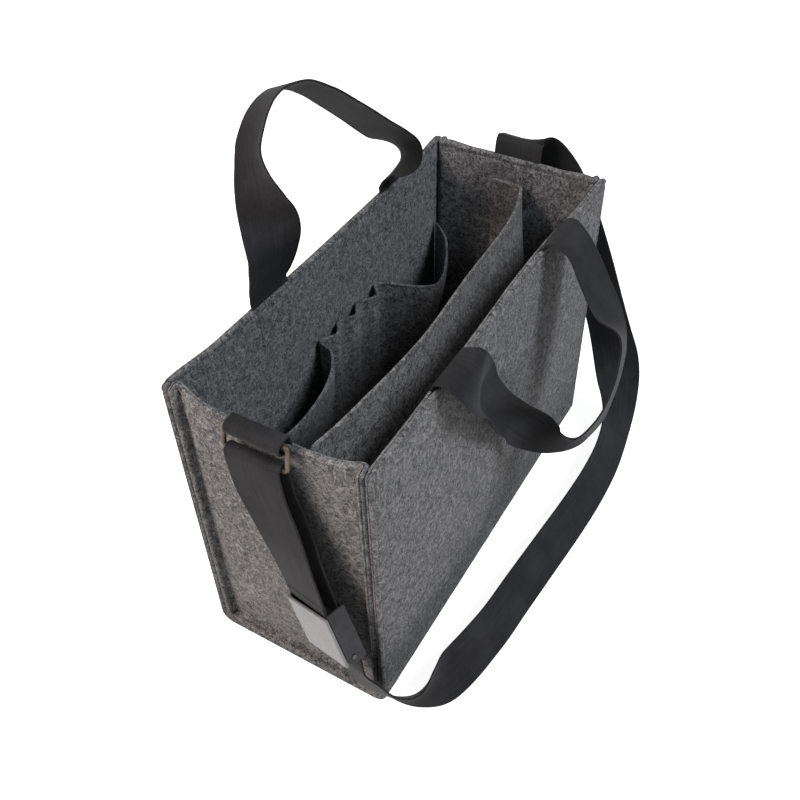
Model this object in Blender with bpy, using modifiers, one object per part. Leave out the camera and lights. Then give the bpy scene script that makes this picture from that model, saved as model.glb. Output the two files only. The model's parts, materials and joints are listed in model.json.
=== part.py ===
"""Knitting bag: a felt tote with a divider, a gathered pocket, two webbing handles and a shoulder strap.

Metres, +Z up. The origin is the centre of the base, X runs along the bag, the buckle hangs at the -X end
and the front panel faces -Y. Every felt piece and every length of webbing is a sheet with a real thickness.
"""

import math

import bmesh
import bpy
from mathutils import Matrix, Vector

MM = 0.001

# Overall sizes
LENGTH = 420 * MM
WIDTH = 180 * MM
HEIGHT = 300 * MM

# Felt
FELT = 3 * MM
LAYER_GAP = 0.5 * MM
CLEAR = 0.3 * MM
FOLD_RADIUS = 20 * MM
RIDGE = 7 * MM
INNER_BEND = 6 * MM
ARC_STEPS = 6

# Webbing
WEBBING_WIDTH = 48 * MM
WEBBING = 1.6 * MM
SEWN_DEPTH = 45 * MM

# Handles
HANDLE_SPACING = 196 * MM
FRONT_SHIFT = 4 * MM
BACK_SHIFT = 17 * MM
HINGE_RISE = 6 * MM
HINGE_GAP = 1.75 * MM
HINGE_TAIL = 0.9 * MM
HANDLE_STEPS = 56

# Divider
DIVIDER_DROP = 18 * MM
DIVIDER_NEAR_Y = -28 * MM
DIVIDER_FAR_Y = -13 * MM
DIVIDER_FLANGE = 32 * MM
DIVIDER_BEND = 4 * MM
DIVIDER_BOW = 14 * MM
DIVIDER_STEPS = 16

# Organiser pocket
POCKET_TOP = 212 * MM
POCKET_BOTTOM = 70 * MM
POCKET_STEPS = 84
POCKET_ROWS = 5

# Shoulder strap hardware
TAB_RISE = 5 * MM
TAB_BEND = 5 * MM
JOINT_OUT = 6 * MM
ROLL_RADIUS = 5.5 * MM
ROLL_DEGREES = 230
RING_WIRE = 4 * MM
RING_SIDE_GAP = 1.5 * MM
RING_HEIGHT = 22 * MM
RING_LEAN = 5 * MM
RING_CORNER = 3 * MM
LOOP_RADIUS = 5 * MM
LOOP_STEPS = 130
LOOP_END_Z = 5 * MM
STUB_RISE = 19 * MM
STUB_BEND = 10 * MM
STUB_REACH = 14 * MM

# Buckle, in its own frame: x across the strap, y up the strap, z away from the bag
BUCKLE_FROM_JOINT = Vector((-22, -59, -199)) * MM
BUCKLE_ACROSS = Vector((-0.27, -0.89, 0.37))
BUCKLE_DOWN = Vector((-0.07, -0.37, -0.93))
BUCKLE_WALL = 2 * MM
BUCKLE_SIDE_GAP = 1 * MM
BUCKLE_BELOW_PIN = 6.5 * MM
BUCKLE_ABOVE_PIN = 47 * MM
BUCKLE_DEPTH = 17 * MM
BUCKLE_STRAP_Z = -6 * MM
BUCKLE_BACK_GAP = 1.7 * MM
LEVER_PLATE = 2.5 * MM
LEVER_TAIL = 5 * MM
LEVER_LENGTH = 50 * MM
CAM_RADIUS = 4.4 * MM
CAM_NECK = 3 * MM
PIN_RADIUS = 2 * MM
PIN_PROUD = 0.6 * MM
ROUND_SIDES = 24
SOFT_EDGE = 0.8 * MM

# Long strap, one smooth route: x, y, z in millimetres and the direction of its upper edge
STRAP_ROUTE = (
    (-228, -72, 77, -0.36, -0.80, 0.48),
    (-227, -87, 58, -0.45, -0.60, 0.66),
    (-222, -103, 42, -0.50, -0.35, 0.79),
    (-210, -117, 31, -0.43, -0.08, 0.90),
    (-193, -126, 25, -0.22, 0.25, 0.94),
    (-168, -133, 22, -0.05, 0.50, 0.86),
    (-109, -142, 21, 0.00, 0.50, 0.86),
    (-60, -146, 21, 0.00, 0.50, 0.86),
    (0, -151, 21, 0.00, 0.50, 0.86),
    (50, -155, 21, 0.00, 0.50, 0.86),
    (100, -157, 21, 0.00, 0.50, 0.86),
    (146, -155, 22, -0.05, 0.53, 0.84),
    (186, -148, 29, -0.15, 0.62, 0.77),
    (215, -138, 46, -0.32, 0.78, 0.52),
    (232, -124, 75, -0.25, 0.93, 0.12),
    (239, -109, 108, -0.05, 0.97, -0.20),
    (240, -92, 150, 0.00, 0.94, -0.34),
    (240, -76, 190, 0.00, 0.92, -0.38),
    (239, -56, 236, 0.00, 0.92, -0.40),
    (236, -36, 276, 0.00, 0.90, -0.42),
    (234, -17, 304, 0.00, 0.95, -0.30),
    (230, -6, 315, 0.00, 0.99, -0.10),
    (222, 0, 319, 0.00, 1.00, 0.00),
)
STRAP_STEPS = 110
DROP_ENDS_AT = 0.17
RISE_STARTS_AT = 0.62

# Front handle, flopped outward: x from its middle at a spacing of DRAWN_SPACING, distance out from its
# hinge, rise above it, then its width direction
DRAWN_SPACING = 196 * MM
FRONT_HANDLE = (
    (-98, 12, 0, 1.00, 0.05, 0.05),
    (-83, 23, -21, 0.80, 0.31, 0.51),
    (-58, 23, -54, 0.72, 0.31, 0.62),
    (-31, 20, -86, 0.68, 0.27, 0.68),
    (-12, 22, -109, 0.50, 0.00, 0.86),
    (-8, 38, -122, 0.10, -0.20, 0.97),
    (-10, 60, -126, -0.35, -0.20, 0.92),
    (5, 80, -119, -0.60, -0.15, 0.78),
    (26, 87, -102, -0.65, -0.15, 0.75),
    (49, 88, -83, -0.67, -0.12, 0.73),
    (68, 80, -64, -0.75, -0.05, 0.66),
    (78, 62, -51, -0.92, 0.17, 0.35),
    (88, 42, -30, -0.94, 0.18, 0.28),
    (96, 24, -9, -0.97, 0.08, 0.20),
    (98, 11, 0, -1.00, 0.00, 0.03),
)

# Back handle, standing with a twist, in the same terms
BACK_HANDLE = (
    (-97, -1, 12, 1.00, -0.05, 0.00),
    (-93, -5, 33, 0.96, -0.28, 0.00),
    (-90, -1, 64, 0.98, -0.05, -0.05),
    (-91, 8, 96, 0.75, 0.62, -0.20),
    (-81, 15, 120, 0.36, 0.84, -0.40),
    (-60, 16, 136, 0.37, 0.82, -0.44),
    (-38, 11, 144, 0.50, 0.73, -0.45),
    (-15, 0, 135, 0.30, 0.86, -0.40),
    (19, -11, 106, 0.05, 0.98, -0.15),
    (55, -13, 76, -0.17, 0.98, -0.03),
    (91, -6, 48, -0.35, 0.93, 0.06),
    (103, -2, 29, -0.80, 0.55, 0.10),
    (98, 0, 12, -1.00, 0.05, 0.00),
)

# Loop of the strap, outer layer from the ring down to the buckle, from the joint at the left rim
LOOP_OUTER = (
    (-17, -5, -51, -0.02, -1.00, 0.05),
    (-19, -16, -81, -0.08, -0.97, 0.20),
    (-22, -29, -118, -0.20, -0.92, 0.32),
)

# Inner layer of the same loop, from the ring down into the buckle, in the same terms
LOOP_INNER = (
    (-7, -6, -53, -0.02, -1.00, 0.05),
    (-8, -17, -82, -0.08, -0.97, 0.20),
    (-11, -30, -119, -0.20, -0.92, 0.32),
)

# Pocket's upper edge seen from above: x, and how far it stands off the back wall, in millimetres
POCKET_PLAN = (
    (-193, 0),
    (-185, 14),
    (-160, 32),
    (-133, 41),
    (-112, 42),
    (-89, 40),
    (-70, 36),
    (-51, 29),
    (-33, 16),
    (-26, 0),
    (-10, 8),
    (5, 0),
    (22, 8),
    (37, 0),
    (56, 10),
    (71, 0),
    (86, 28),
    (100, 49),
    (114, 50),
    (143, 39),
    (173, 22),
    (193, 0),
)

# Worked out from the sizes above
HALF_LENGTH = LENGTH / 2
HALF_WIDTH = WIDTH / 2
LAYER_STEP = FELT + LAYER_GAP
WALL = FELT + LAYER_STEP
OUTER_MID = FELT / 2
INNER_MID = OUTER_MID + LAYER_STEP
INNER_FLANGE_INSET = WALL + CLEAR + FELT / 2
OUTER_FLANGE_INSET = INNER_FLANGE_INSET + LAYER_STEP
BEND_INSET = INNER_FLANGE_INSET + INNER_BEND
BEND_X = HALF_LENGTH - RIDGE
OUTER_BEND = INNER_BEND - LAYER_STEP
OUTER_PANEL_X = BEND_X - OUTER_BEND
INNER_PANEL_X = BEND_X - INNER_BEND
END_WALL_X = INNER_PANEL_X - FELT / 2
SIDE_WALL_Y = HALF_WIDTH - WALL
SEWN_Y = HALF_WIDTH - FELT - CLEAR - WEBBING / 2
SEWN_X = OUTER_PANEL_X - FELT / 2 - CLEAR - WEBBING / 2
SEWN_BOTTOM = HEIGHT - SEWN_DEPTH
HINGE_Z = HEIGHT + HINGE_RISE
LEFT_JOINT = Vector((-BEND_X - JOINT_OUT, 0, HEIGHT + TAB_RISE))
RIGHT_JOINT = Vector((SEWN_X + STUB_REACH, 0, HEIGHT + STUB_RISE))
BAR_REACH = RING_WIRE / 2 + CLEAR + WEBBING / 2
ROLL_CENTRE = LEFT_JOINT + Vector((-JOINT_OUT, 0, -ROLL_RADIUS))
RING_HIGH = ROLL_CENTRE - Vector((0, 0, ROLL_RADIUS - BAR_REACH))
RING_LOW = RING_HIGH + Vector((-RING_LEAN, 0, -RING_HEIGHT))
LOOP_CENTRE = RING_LOW - Vector((0, 0, LOOP_RADIUS - BAR_REACH))
BUCKLE_PIN_AT = LEFT_JOINT + BUCKLE_FROM_JOINT


def clear_scene():
    for old in list(bpy.data.objects):
        bpy.data.objects.remove(old, do_unlink=True)


def collection(name):
    made = bpy.data.collections.new(name)
    bpy.context.scene.collection.children.link(made)
    return made


def material(name, colour, roughness, metallic=0.0):
    made = bpy.data.materials.new(name)
    made.use_nodes = True
    shader = made.node_tree.nodes["Principled BSDF"]
    shader.inputs["Base Color"].default_value = (*colour, 1.0)
    shader.inputs["Roughness"].default_value = roughness
    shader.inputs["Metallic"].default_value = metallic
    return made


def mesh_object(name, build, look, group, axis=None):
    """A named object whose mesh is filled by build(bm). A moving piece hangs on the empty of its joint."""
    mesh = bpy.data.meshes.new(name)
    bm = bmesh.new()
    build(bm)
    bmesh.ops.recalc_face_normals(bm, faces=bm.faces)
    bm.to_mesh(mesh)
    bm.free()
    mesh.shade_smooth()
    mesh.set_sharp_from_angle(angle=math.radians(40))
    made = bpy.data.objects.new(name, mesh)
    group.objects.link(made)
    if look:
        mesh.materials.append(look)
    if axis:
        made.parent = axis
        made.matrix_parent_inverse = axis.matrix_world.inverted()
    return made


def joint_axis(name, place, group):
    made = bpy.data.objects.new(name, None)
    made.empty_display_size = 20 * MM
    made.matrix_world = place
    group.objects.link(made)
    return made


def solidify(made, thickness):
    skin = made.modifiers.new("thickness", "SOLIDIFY")
    skin.thickness = thickness
    skin.offset = 0
    skin.use_even_offset = True


def skin_rows(bm, rows):
    """Quads between neighbouring rows of points, returning the rows' vertices."""
    made = [[bm.verts.new(point) for point in row] for row in rows]
    for low, high in zip(made, made[1:]):
        for i in range(len(low) - 1):
            bm.faces.new((low[i], low[i + 1], high[i + 1], high[i]))
    return made


def sheet(name, rows, thickness, look, group, axis=None):
    """A piece of felt or webbing: an open surface through rows of points, made thick evenly on both sides."""
    made = mesh_object(name, lambda bm: skin_rows(bm, rows), look, group, axis)
    solidify(made, thickness)
    return made


def box(name, low, high, look, group):
    size = Vector(high) - Vector(low)
    middle = (Vector(high) + Vector(low)) / 2

    def build(bm):
        bmesh.ops.create_cube(bm, size=1, matrix=Matrix.LocRotScale(middle, None, size))

    return mesh_object(name, build, look, group)


def rod(name, radius, half_length, look, group):
    """A cylinder along X, centred on the origin of its frame."""
    turn = Matrix.Rotation(math.radians(90), 4, "Y")

    def build(bm):
        bmesh.ops.create_cone(bm, cap_ends=True, segments=ROUND_SIDES, radius1=radius, radius2=radius,
                              depth=2 * half_length, matrix=turn)

    return mesh_object(name, build, look, group)


def boolean(made, other, operation):
    cut = made.modifiers.new(other.name, "BOOLEAN")
    cut.operation = operation
    cut.object = other
    cut.solver = "EXACT"


def hide(cutter):
    cutter.hide_render = True
    cutter.display_type = "WIRE"


def smooth(stations, count):
    """Points at even steps along a smooth curve through stations, each a place and a width direction."""
    places = [Vector(s[:3]) for s in stations]
    wide = [Vector(s[3:]).normalized() for s in stations]
    run = [0.0]
    for a, b in zip(places, places[1:]):
        run.append(run[-1] + (b - a).length)

    def slope(values, i):
        low, high = max(i - 1, 0), min(i + 1, len(values) - 1)
        return (values[high] - values[low]) / (run[high] - run[low])

    def at(values, i, u):
        step = run[i + 1] - run[i]
        a, b = values[i], values[i + 1]
        first, second = slope(values, i) * step, slope(values, i + 1) * step
        return (a * (2 * u**3 - 3 * u**2 + 1) + first * (u**3 - 2 * u**2 + u)
                + b * (3 * u**2 - 2 * u**3) + second * (u**3 - u**2))

    found = []
    i = 0
    for k in range(count + 1):
        s = run[-1] * k / count
        while i < len(run) - 2 and s > run[i + 1]:
            i += 1
        u = (s - run[i]) / (run[i + 1] - run[i])
        found.append((at(places, i, u), at(wide, i, u).normalized()))
    return found


def ribbon_rows(line, hinged=()):
    """The two edges of a band at each point of a line, square to the way it runs.

    The ends named in hinged keep the direction they are given, which is that of the line they turn on.
    """
    rows = []
    for k, (place, wide) in enumerate(line):
        ahead = line[min(k + 1, len(line) - 1)][0] - line[max(k - 1, 0)][0]
        ahead.normalize()
        across = (wide - ahead * wide.dot(ahead)).normalized() * WEBBING_WIDTH / 2
        rows.append((place - across, place + across))
    for k in hinged:
        place, wide = line[k]
        rows[k] = (place - wide * WEBBING_WIDTH / 2, place + wide * WEBBING_WIDTH / 2)
    return rows


def beyond(row, inner, reach):
    """A row of points moved outward along its band, away from the next row in (inward if reach is negative)."""
    moved = []
    for point, neighbour in zip(row, inner):
        moved.append(point + (point - neighbour).normalized() * reach)
    return moved


def arc(centre, radius, start, end, steps=ARC_STEPS):
    """Points of an arc in a plane, as pairs, from one angle to another in degrees."""
    angles = [math.radians(start + (end - start) * k / steps) for k in range(steps + 1)]
    return [(centre[0] + radius * math.cos(a), centre[1] + radius * math.sin(a)) for a in angles]


def u_path(inset):
    """The U that the body follows, as (y, z) from the front rim round the bottom to the back rim."""
    radius = FOLD_RADIUS - inset
    side = HALF_WIDTH - FOLD_RADIUS
    path = [(-HALF_WIDTH + inset, HEIGHT)]
    path += arc((-side, FOLD_RADIUS), radius, 180, 270)
    path += arc((side, FOLD_RADIUS), radius, 270, 360)
    path.append((HALF_WIDTH - inset, HEIGHT))
    return path


def body_strip(name, inset, look, group):
    path = u_path(inset)
    rows = [[(x, y, z) for y, z in path] for x in (-HALF_LENGTH, HALF_LENGTH)]
    return sheet(name, rows, FELT, look, group)


def end_tray(name, side, flange_inset, bend, look, group):
    """One layer of an end panel, whose edges turn outward round a bend and lie along the body's edge."""
    profile = [(flange_inset, HALF_LENGTH)]
    for inset, x in arc((BEND_INSET, BEND_X), bend, 180, 270):
        profile.append((inset, x))

    def build(bm):
        rows = [[(side * x, y, z) for y, z in u_path(inset)] for inset, x in profile]
        made = skin_rows(bm, rows)
        bm.faces.new(made[-1])

    tray = mesh_object(name, build, look, group)
    solidify(tray, FELT)
    return tray


def cut_recess(made, name, low, high, group):
    cutter = box(name, low, high, None, group)
    hide(cutter)
    boolean(made, cutter, "DIFFERENCE")


def side_recesses(strip, side, shift, label, group):
    """Room between the felt layers for a handle's two sewn ends."""
    deep = (SEWN_Y - WEBBING / 2 - CLEAR, SEWN_Y + WEBBING + CLEAR)
    for end in (-1, 1):
        x = shift + end * HANDLE_SPACING / 2
        half = WEBBING_WIDTH / 2 + CLEAR
        y = sorted(side * d for d in deep)
        low = (x - half, y[0], SEWN_BOTTOM - CLEAR)
        high = (x + half, y[1], HEIGHT + HINGE_RISE)
        cut_recess(strip, f"{label}_recess_{'left' if end < 0 else 'right'}", low, high, group)


def end_recess(tray, side, label, group):
    half = WEBBING_WIDTH / 2 + CLEAR
    x = sorted((side * (SEWN_X - WEBBING / 2 - CLEAR), side * (SEWN_X + WEBBING + CLEAR)))
    low = (x[0], -half, SEWN_BOTTOM - CLEAR)
    high = (x[1], half, HEIGHT + HINGE_RISE)
    cut_recess(tray, f"{label}_recess", low, high, group)


def sewn_handle_end(name, side, x, look, group):
    """The end of a handle, flat between the felt layers, up to just under the hinge line."""
    top = HINGE_Z - HINGE_GAP
    rows = [[(x + end * WEBBING_WIDTH / 2, side * SEWN_Y, z) for end in (-1, 1)] for z in (SEWN_BOTTOM, top)]
    return sheet(name, rows, WEBBING, look, group)


def handle_loop(name, side, shift, stations, look, group, axis):
    def placed(x, out, rise, *wide):
        along = x * MM * HANDLE_SPACING / DRAWN_SPACING
        return (shift + along, side * (SEWN_Y + out * MM), HINGE_Z + rise * MM, *wide)

    half = DRAWN_SPACING / 2 / MM
    ends = ((-half, 0, 0, 1, 0, 0), (half, 0, 0, -1, 0, 0))
    line = smooth([placed(*s) for s in (ends[0], *stations, ends[1])], HANDLE_STEPS)
    rows = ribbon_rows(line, hinged=(0, -1))
    tails = [beyond(rows[0], rows[1], HINGE_TAIL), beyond(rows[-1], rows[-2], HINGE_TAIL)]
    return sheet(name, [tails[0], *rows, tails[1]], WEBBING, look, group, axis)


def divider(look, group):
    """A sheet along the bag whose two ends turn opposite ways and lie flat on the end walls."""
    x = END_WALL_X - CLEAR - FELT / 2
    r = DIVIDER_BEND
    plan = [(-x, DIVIDER_NEAR_Y - DIVIDER_FLANGE)]
    plan += arc((-x + r, DIVIDER_NEAR_Y - r), r, 180, 90)
    first, last = Vector(plan[-1]), Vector((x - r, DIVIDER_FAR_Y))
    for k in range(1, DIVIDER_STEPS):
        u = k / DIVIDER_STEPS
        middle = first.lerp(last, u)
        plan.append((middle.x, middle.y - DIVIDER_BOW * (1 - (2 * u - 1) ** 4)))
    plan += arc((x - r, DIVIDER_FAR_Y + r), r, 270, 360)
    plan.append((x, DIVIDER_FAR_Y + DIVIDER_FLANGE))
    rows = [[(px, py, z) for px, py in plan] for z in (WALL + CLEAR, HEIGHT - DIVIDER_DROP)]
    return sheet("divider", rows, FELT, look, group)


def organiser_pocket(look, group):
    """A gathered strip on the back wall, open at the top and drawn in to the wall at its foot."""
    wall_y = SIDE_WALL_Y - CLEAR - FELT / 2
    nominal_half = -POCKET_PLAN[0][0] * MM
    stretch = (END_WALL_X - CLEAR - FELT / 2) / nominal_half
    stations = [(x * MM * stretch, off * MM, 0, 1, 0, 0) for x, off in POCKET_PLAN]
    plan = [place for place, _ in smooth(stations, POCKET_STEPS)]
    rows = []
    for k in range(POCKET_ROWS):
        u = k / (POCKET_ROWS - 1)
        z = POCKET_BOTTOM + (POCKET_TOP - POCKET_BOTTOM) * u
        swell = math.sin(math.pi / 2 * u)
        rows.append([(p.x, wall_y - max(p.y, 0) * swell, z) for p in plan])
    return sheet("organiser_pocket", rows, FELT, look, group)


def cross_rows(profile, half=WEBBING_WIDTH / 2):
    """Webbing whose width lies along Y, through a profile of (x, z) points."""
    return [[(x, -half, z), (x, half, z)] for x, z in profile]


def left_strap_tab(look, group):
    """Tab sewn in the left end, turned outward over the rim as far as the strap's joint."""
    top = LEFT_JOINT.z
    profile = [(-SEWN_X, SEWN_BOTTOM)]
    profile += arc((-SEWN_X - TAB_BEND, top - TAB_BEND), TAB_BEND, 0, 90)
    profile.append((LEFT_JOINT.x + CLEAR / 2, top))
    return sheet("left_strap_tab", cross_rows(profile), WEBBING, look, group)


def tab_roll(look, group, axis):
    """The tab's end, folded round the ring's upper bar."""
    profile = [(LEFT_JOINT.x - CLEAR / 2, LEFT_JOINT.z)]
    profile += arc((ROLL_CENTRE.x, ROLL_CENTRE.z), ROLL_RADIUS, 90, 90 + ROLL_DEGREES, 2 * ARC_STEPS)
    return sheet("tab_roll", cross_rows(profile), WEBBING, look, group, axis)


def strap_ring(look, group, axis):
    """A closed wire: two bars along Y, joined by sides that lean with the strap."""
    half = WEBBING_WIDTH / 2 + RING_SIDE_GAP + RING_WIRE / 2
    down = RING_LOW - RING_HIGH
    high = down.length
    flat = []
    for cy, cz, start in ((half, 0, 0), (-half, 0, 90), (-half, -high, 180), (half, -high, 270)):
        centre = (cy - math.copysign(RING_CORNER, cy), cz + (RING_CORNER if cz else -RING_CORNER))
        flat += arc(centre, RING_CORNER, start, start + 90)
    curve = bpy.data.curves.new("strap_ring", "CURVE")
    curve.dimensions = "3D"
    curve.bevel_depth = RING_WIRE / 2
    curve.bevel_resolution = 2
    line = curve.splines.new("POLY")
    line.points.add(len(flat) - 1)
    line.use_cyclic_u = True
    for point, (y, z) in zip(line.points, flat):
        place = RING_HIGH + down * (-z / high)
        point.co = (place.x, y, place.z, 1)
    curve.materials.append(look)
    made = bpy.data.objects.new("strap_ring", curve)
    group.objects.link(made)
    made.parent = axis
    made.matrix_parent_inverse = axis.matrix_world.inverted()
    return made


def buckle_matrix():
    down = BUCKLE_DOWN.normalized()
    across = (BUCKLE_ACROSS - down * BUCKLE_ACROSS.dot(down)).normalized()
    away = down.cross(across)
    turn = Matrix((across, -down, away)).transposed().to_4x4()
    return Matrix.Translation(BUCKLE_PIN_AT) @ turn


def in_buckle(y, z):
    """A place on the buckle's middle line and the strap's direction of width there."""
    frame = buckle_matrix()
    return (*(frame @ Vector((0, y, z))), *frame.col[0].to_3d())


def in_metres(stations, start=Vector()):
    """Stations given in millimetres from a starting point."""
    return [(*(start + Vector((x, y, z)) * MM), *wide) for x, y, z, *wide in stations]


def strap_loop(look, group, axis):
    """Doubled webbing over the ring's lower bar. The outer layer ends above the buckle, the inner enters it."""
    over = []
    for x, z in arc((LOOP_CENTRE.x, LOOP_CENTRE.z), LOOP_RADIUS, 180, 0):
        over.append((x, 0, z, 0, -1, 0))
    outer_end = in_buckle(BUCKLE_ABOVE_PIN + 2 * CLEAR, LOOP_END_Z)
    inner_end = in_buckle(BUCKLE_ABOVE_PIN / 2, BUCKLE_STRAP_Z)
    inner_in = in_buckle(BUCKLE_ABOVE_PIN, BUCKLE_STRAP_Z)
    outer, inner = in_metres(LOOP_OUTER, LEFT_JOINT), in_metres(LOOP_INNER, LEFT_JOINT)
    stations = [outer_end, *reversed(outer), *over, *inner, inner_in, inner_end]
    line = smooth(stations, LOOP_STEPS)
    return sheet("strap_loop", ribbon_rows(line), WEBBING, look, group, axis)


def strap_line():
    start = in_buckle(BUCKLE_ABOVE_PIN / 2 - CLEAR, BUCKLE_STRAP_Z)
    leaves = in_buckle(-BUCKLE_BELOW_PIN, BUCKLE_STRAP_Z)
    end = (RIGHT_JOINT.x + CLEAR, 0, RIGHT_JOINT.z, 0, 1, 0)
    return smooth([start, leaves, *in_metres(STRAP_ROUTE), end], STRAP_STEPS)


def strap_stretches(look, group, axis):
    """The long strap in three pieces that meet face to face."""
    line = strap_line()
    cuts = [0, round(DROP_ENDS_AT * STRAP_STEPS), round(RISE_STARTS_AT * STRAP_STEPS), STRAP_STEPS]
    for name, first, last in zip(("strap_drop", "strap_floor_run", "strap_rise"), cuts, cuts[1:]):
        rows = ribbon_rows(line, hinged=(-1,))[first:last + 1]
        if first:
            rows[0] = beyond(rows[0], rows[1], -CLEAR)
        sheet(name, rows, WEBBING, look, group, axis)


def right_strap_end(look, group):
    """The strap's far end, sewn in the right end panel and standing up over its rim."""
    top = RIGHT_JOINT.z
    profile = [(SEWN_X, SEWN_BOTTOM)]
    profile += arc((SEWN_X + STUB_BEND, top - STUB_BEND), STUB_BEND, 180, 90)
    profile.append((RIGHT_JOINT.x - CLEAR / 2, top))
    return sheet("right_strap_end", cross_rows(profile), WEBBING, look, group)


def place_in_buckle(made, frame):
    made.parent = frame
    made.matrix_parent_inverse = Matrix.Identity(4)


def soften(made):
    edge = made.modifiers.new("soft edges", "BEVEL")
    edge.width = SOFT_EDGE
    edge.segments = 2
    edge.limit_method = "ANGLE"


def round_edge(made, y, z, radius):
    """Rounds the edge along X at y, z, so that the lever's tail can pass round the pin."""
    bm = bmesh.new()
    bm.from_mesh(made.data)
    reach = CLEAR / 2
    near = {v for v in bm.verts if abs(v.co.y - y) < reach and abs(v.co.z - z) < reach}
    corner = [e for e in bm.edges if near.issuperset(e.verts)]
    bmesh.ops.bevel(bm, geom=corner, offset=radius, segments=ARC_STEPS, profile=0.5, affect="EDGES")
    bm.to_mesh(made.data)
    bm.free()


def buckle_base(look, group, cutters, frame):
    """A channel with a back and two side walls, bored across for the pin."""
    inner = WEBBING_WIDTH / 2 + BUCKLE_SIDE_GAP
    outer = inner + BUCKLE_WALL
    floor = BUCKLE_STRAP_Z - WEBBING / 2 - BUCKLE_BACK_GAP
    back = floor - BUCKLE_WALL
    front = back + BUCKLE_DEPTH
    low, high = -BUCKLE_BELOW_PIN, BUCKLE_ABOVE_PIN
    base = box("buckle_base", (-outer, low, back), (outer, high, front), look, group)
    round_edge(base, low, front, min(front, -low))
    soften(base)
    over = 2 * BUCKLE_WALL
    channel = box("buckle_channel", (-inner, low - over, floor), (inner, high + over, front + over),
                  None, cutters)
    bore = rod("buckle_pin_bore", PIN_RADIUS + CLEAR, outer + over, None, cutters)
    for cutter in (channel, bore):
        hide(cutter)
        place_in_buckle(cutter, frame)
        boolean(base, cutter, "DIFFERENCE")
    place_in_buckle(base, frame)
    return front


def buckle_lever(front, look, group, cutters, frame):
    """The cover plate with its cam, which turns on the pin."""
    half = WEBBING_WIDTH / 2 + BUCKLE_SIDE_GAP + BUCKLE_WALL
    under = front + CLEAR
    lever = box("buckle_lever", (-half, -LEVER_TAIL, under),
                (half, LEVER_LENGTH - LEVER_TAIL, under + LEVER_PLATE), look, group)
    soften(lever)
    cam_half = WEBBING_WIDTH / 2 - BUCKLE_SIDE_GAP
    neck = box("lever_neck", (-cam_half, -CAM_NECK, 0), (cam_half, CAM_NECK, under + LEVER_PLATE / 2),
               None, cutters)
    cam = rod("lever_cam", CAM_RADIUS, cam_half, None, cutters)
    bore = rod("lever_bore", PIN_RADIUS + CLEAR, 2 * cam_half, None, cutters)
    for helper, operation in ((neck, "UNION"), (cam, "UNION"), (bore, "DIFFERENCE")):
        hide(helper)
        place_in_buckle(helper, frame)
        boolean(lever, helper, operation)
    place_in_buckle(lever, frame)


def buckle_pin(look, group, frame):
    half = WEBBING_WIDTH / 2 + BUCKLE_SIDE_GAP + BUCKLE_WALL + PIN_PROUD
    pin = rod("buckle_pin", PIN_RADIUS, half, look, group)
    place_in_buckle(pin, frame)


def build():
    clear_scene()
    parts = collection("knitting_bag")
    cutters = collection("cutters")
    outer_felt = material("felt_outer", (0.130, 0.126, 0.126), 0.95)
    inner_felt = material("felt_inner", (0.085, 0.086, 0.090), 0.95)
    webbing = material("webbing", (0.030, 0.030, 0.032), 0.65)
    brass = material("ring_metal", (0.300, 0.250, 0.200), 0.35, 1.0)
    cover = material("buckle_cover", (0.380, 0.370, 0.380), 0.40, 0.6)
    dark = material("buckle_dark", (0.050, 0.050, 0.055), 0.45, 0.5)
    steel = material("pin_steel", (0.250, 0.250, 0.250), 0.35, 1.0)

    body_strip("body_outer_strip", OUTER_MID, outer_felt, parts)
    inner_strip = body_strip("body_inner_strip", INNER_MID, inner_felt, parts)
    side_recesses(inner_strip, -1, FRONT_SHIFT, "front_handle", cutters)
    side_recesses(inner_strip, 1, BACK_SHIFT, "back_handle", cutters)
    for label, side in (("left", -1), ("right", 1)):
        end_tray(f"{label}_end_outer", side, OUTER_FLANGE_INSET, OUTER_BEND, outer_felt, parts)
        inner = end_tray(f"{label}_end_inner", side, INNER_FLANGE_INSET, INNER_BEND, inner_felt, parts)
        end_recess(inner, side, label, cutters)
    divider(inner_felt, parts)
    organiser_pocket(inner_felt, parts)

    for label, side, shift, stations in (
        ("front_handle", -1, FRONT_SHIFT, FRONT_HANDLE),
        ("back_handle", 1, BACK_SHIFT, BACK_HANDLE),
    ):
        axis = joint_axis(f"{label}_axis", Matrix.Translation((shift, side * SEWN_Y, HINGE_Z)), parts)
        handle_loop(f"{label}_loop", side, shift, stations, webbing, parts, axis)
        for end, word in ((-1, "left"), (1, "right")):
            sewn_handle_end(f"{label}_{word}_end", side, shift + end * HANDLE_SPACING / 2, webbing, parts)

    left_strap_tab(webbing, parts)
    right_strap_end(webbing, parts)
    swing = joint_axis("strap_swing_axis", Matrix.Translation(LEFT_JOINT), parts)
    tab_roll(webbing, parts, swing)
    strap_ring(brass, parts, swing)
    strap_loop(webbing, parts, swing)
    strap_stretches(webbing, parts, swing)
    frame = joint_axis("buckle_pin_axis", buckle_matrix(), parts)
    front = buckle_base(dark, parts, cutters, frame)
    buckle_lever(front, cover, parts, cutters, frame)
    buckle_pin(steel, parts, frame)


build()
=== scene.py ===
"""Looks of the knitting bag: felt shell, divider, gathered pocket, webbing handles and shoulder strap.

Shapes are worked out in millimetres in the CAD frame and stored in metres. The bag stands on Z = 0, its
front panel faces -Y and the buckle hangs at the -X end.
"""

import json
import math

import bmesh
import bpy
import numpy as np
from mathutils import Euler, Matrix, Vector, noise

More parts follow.
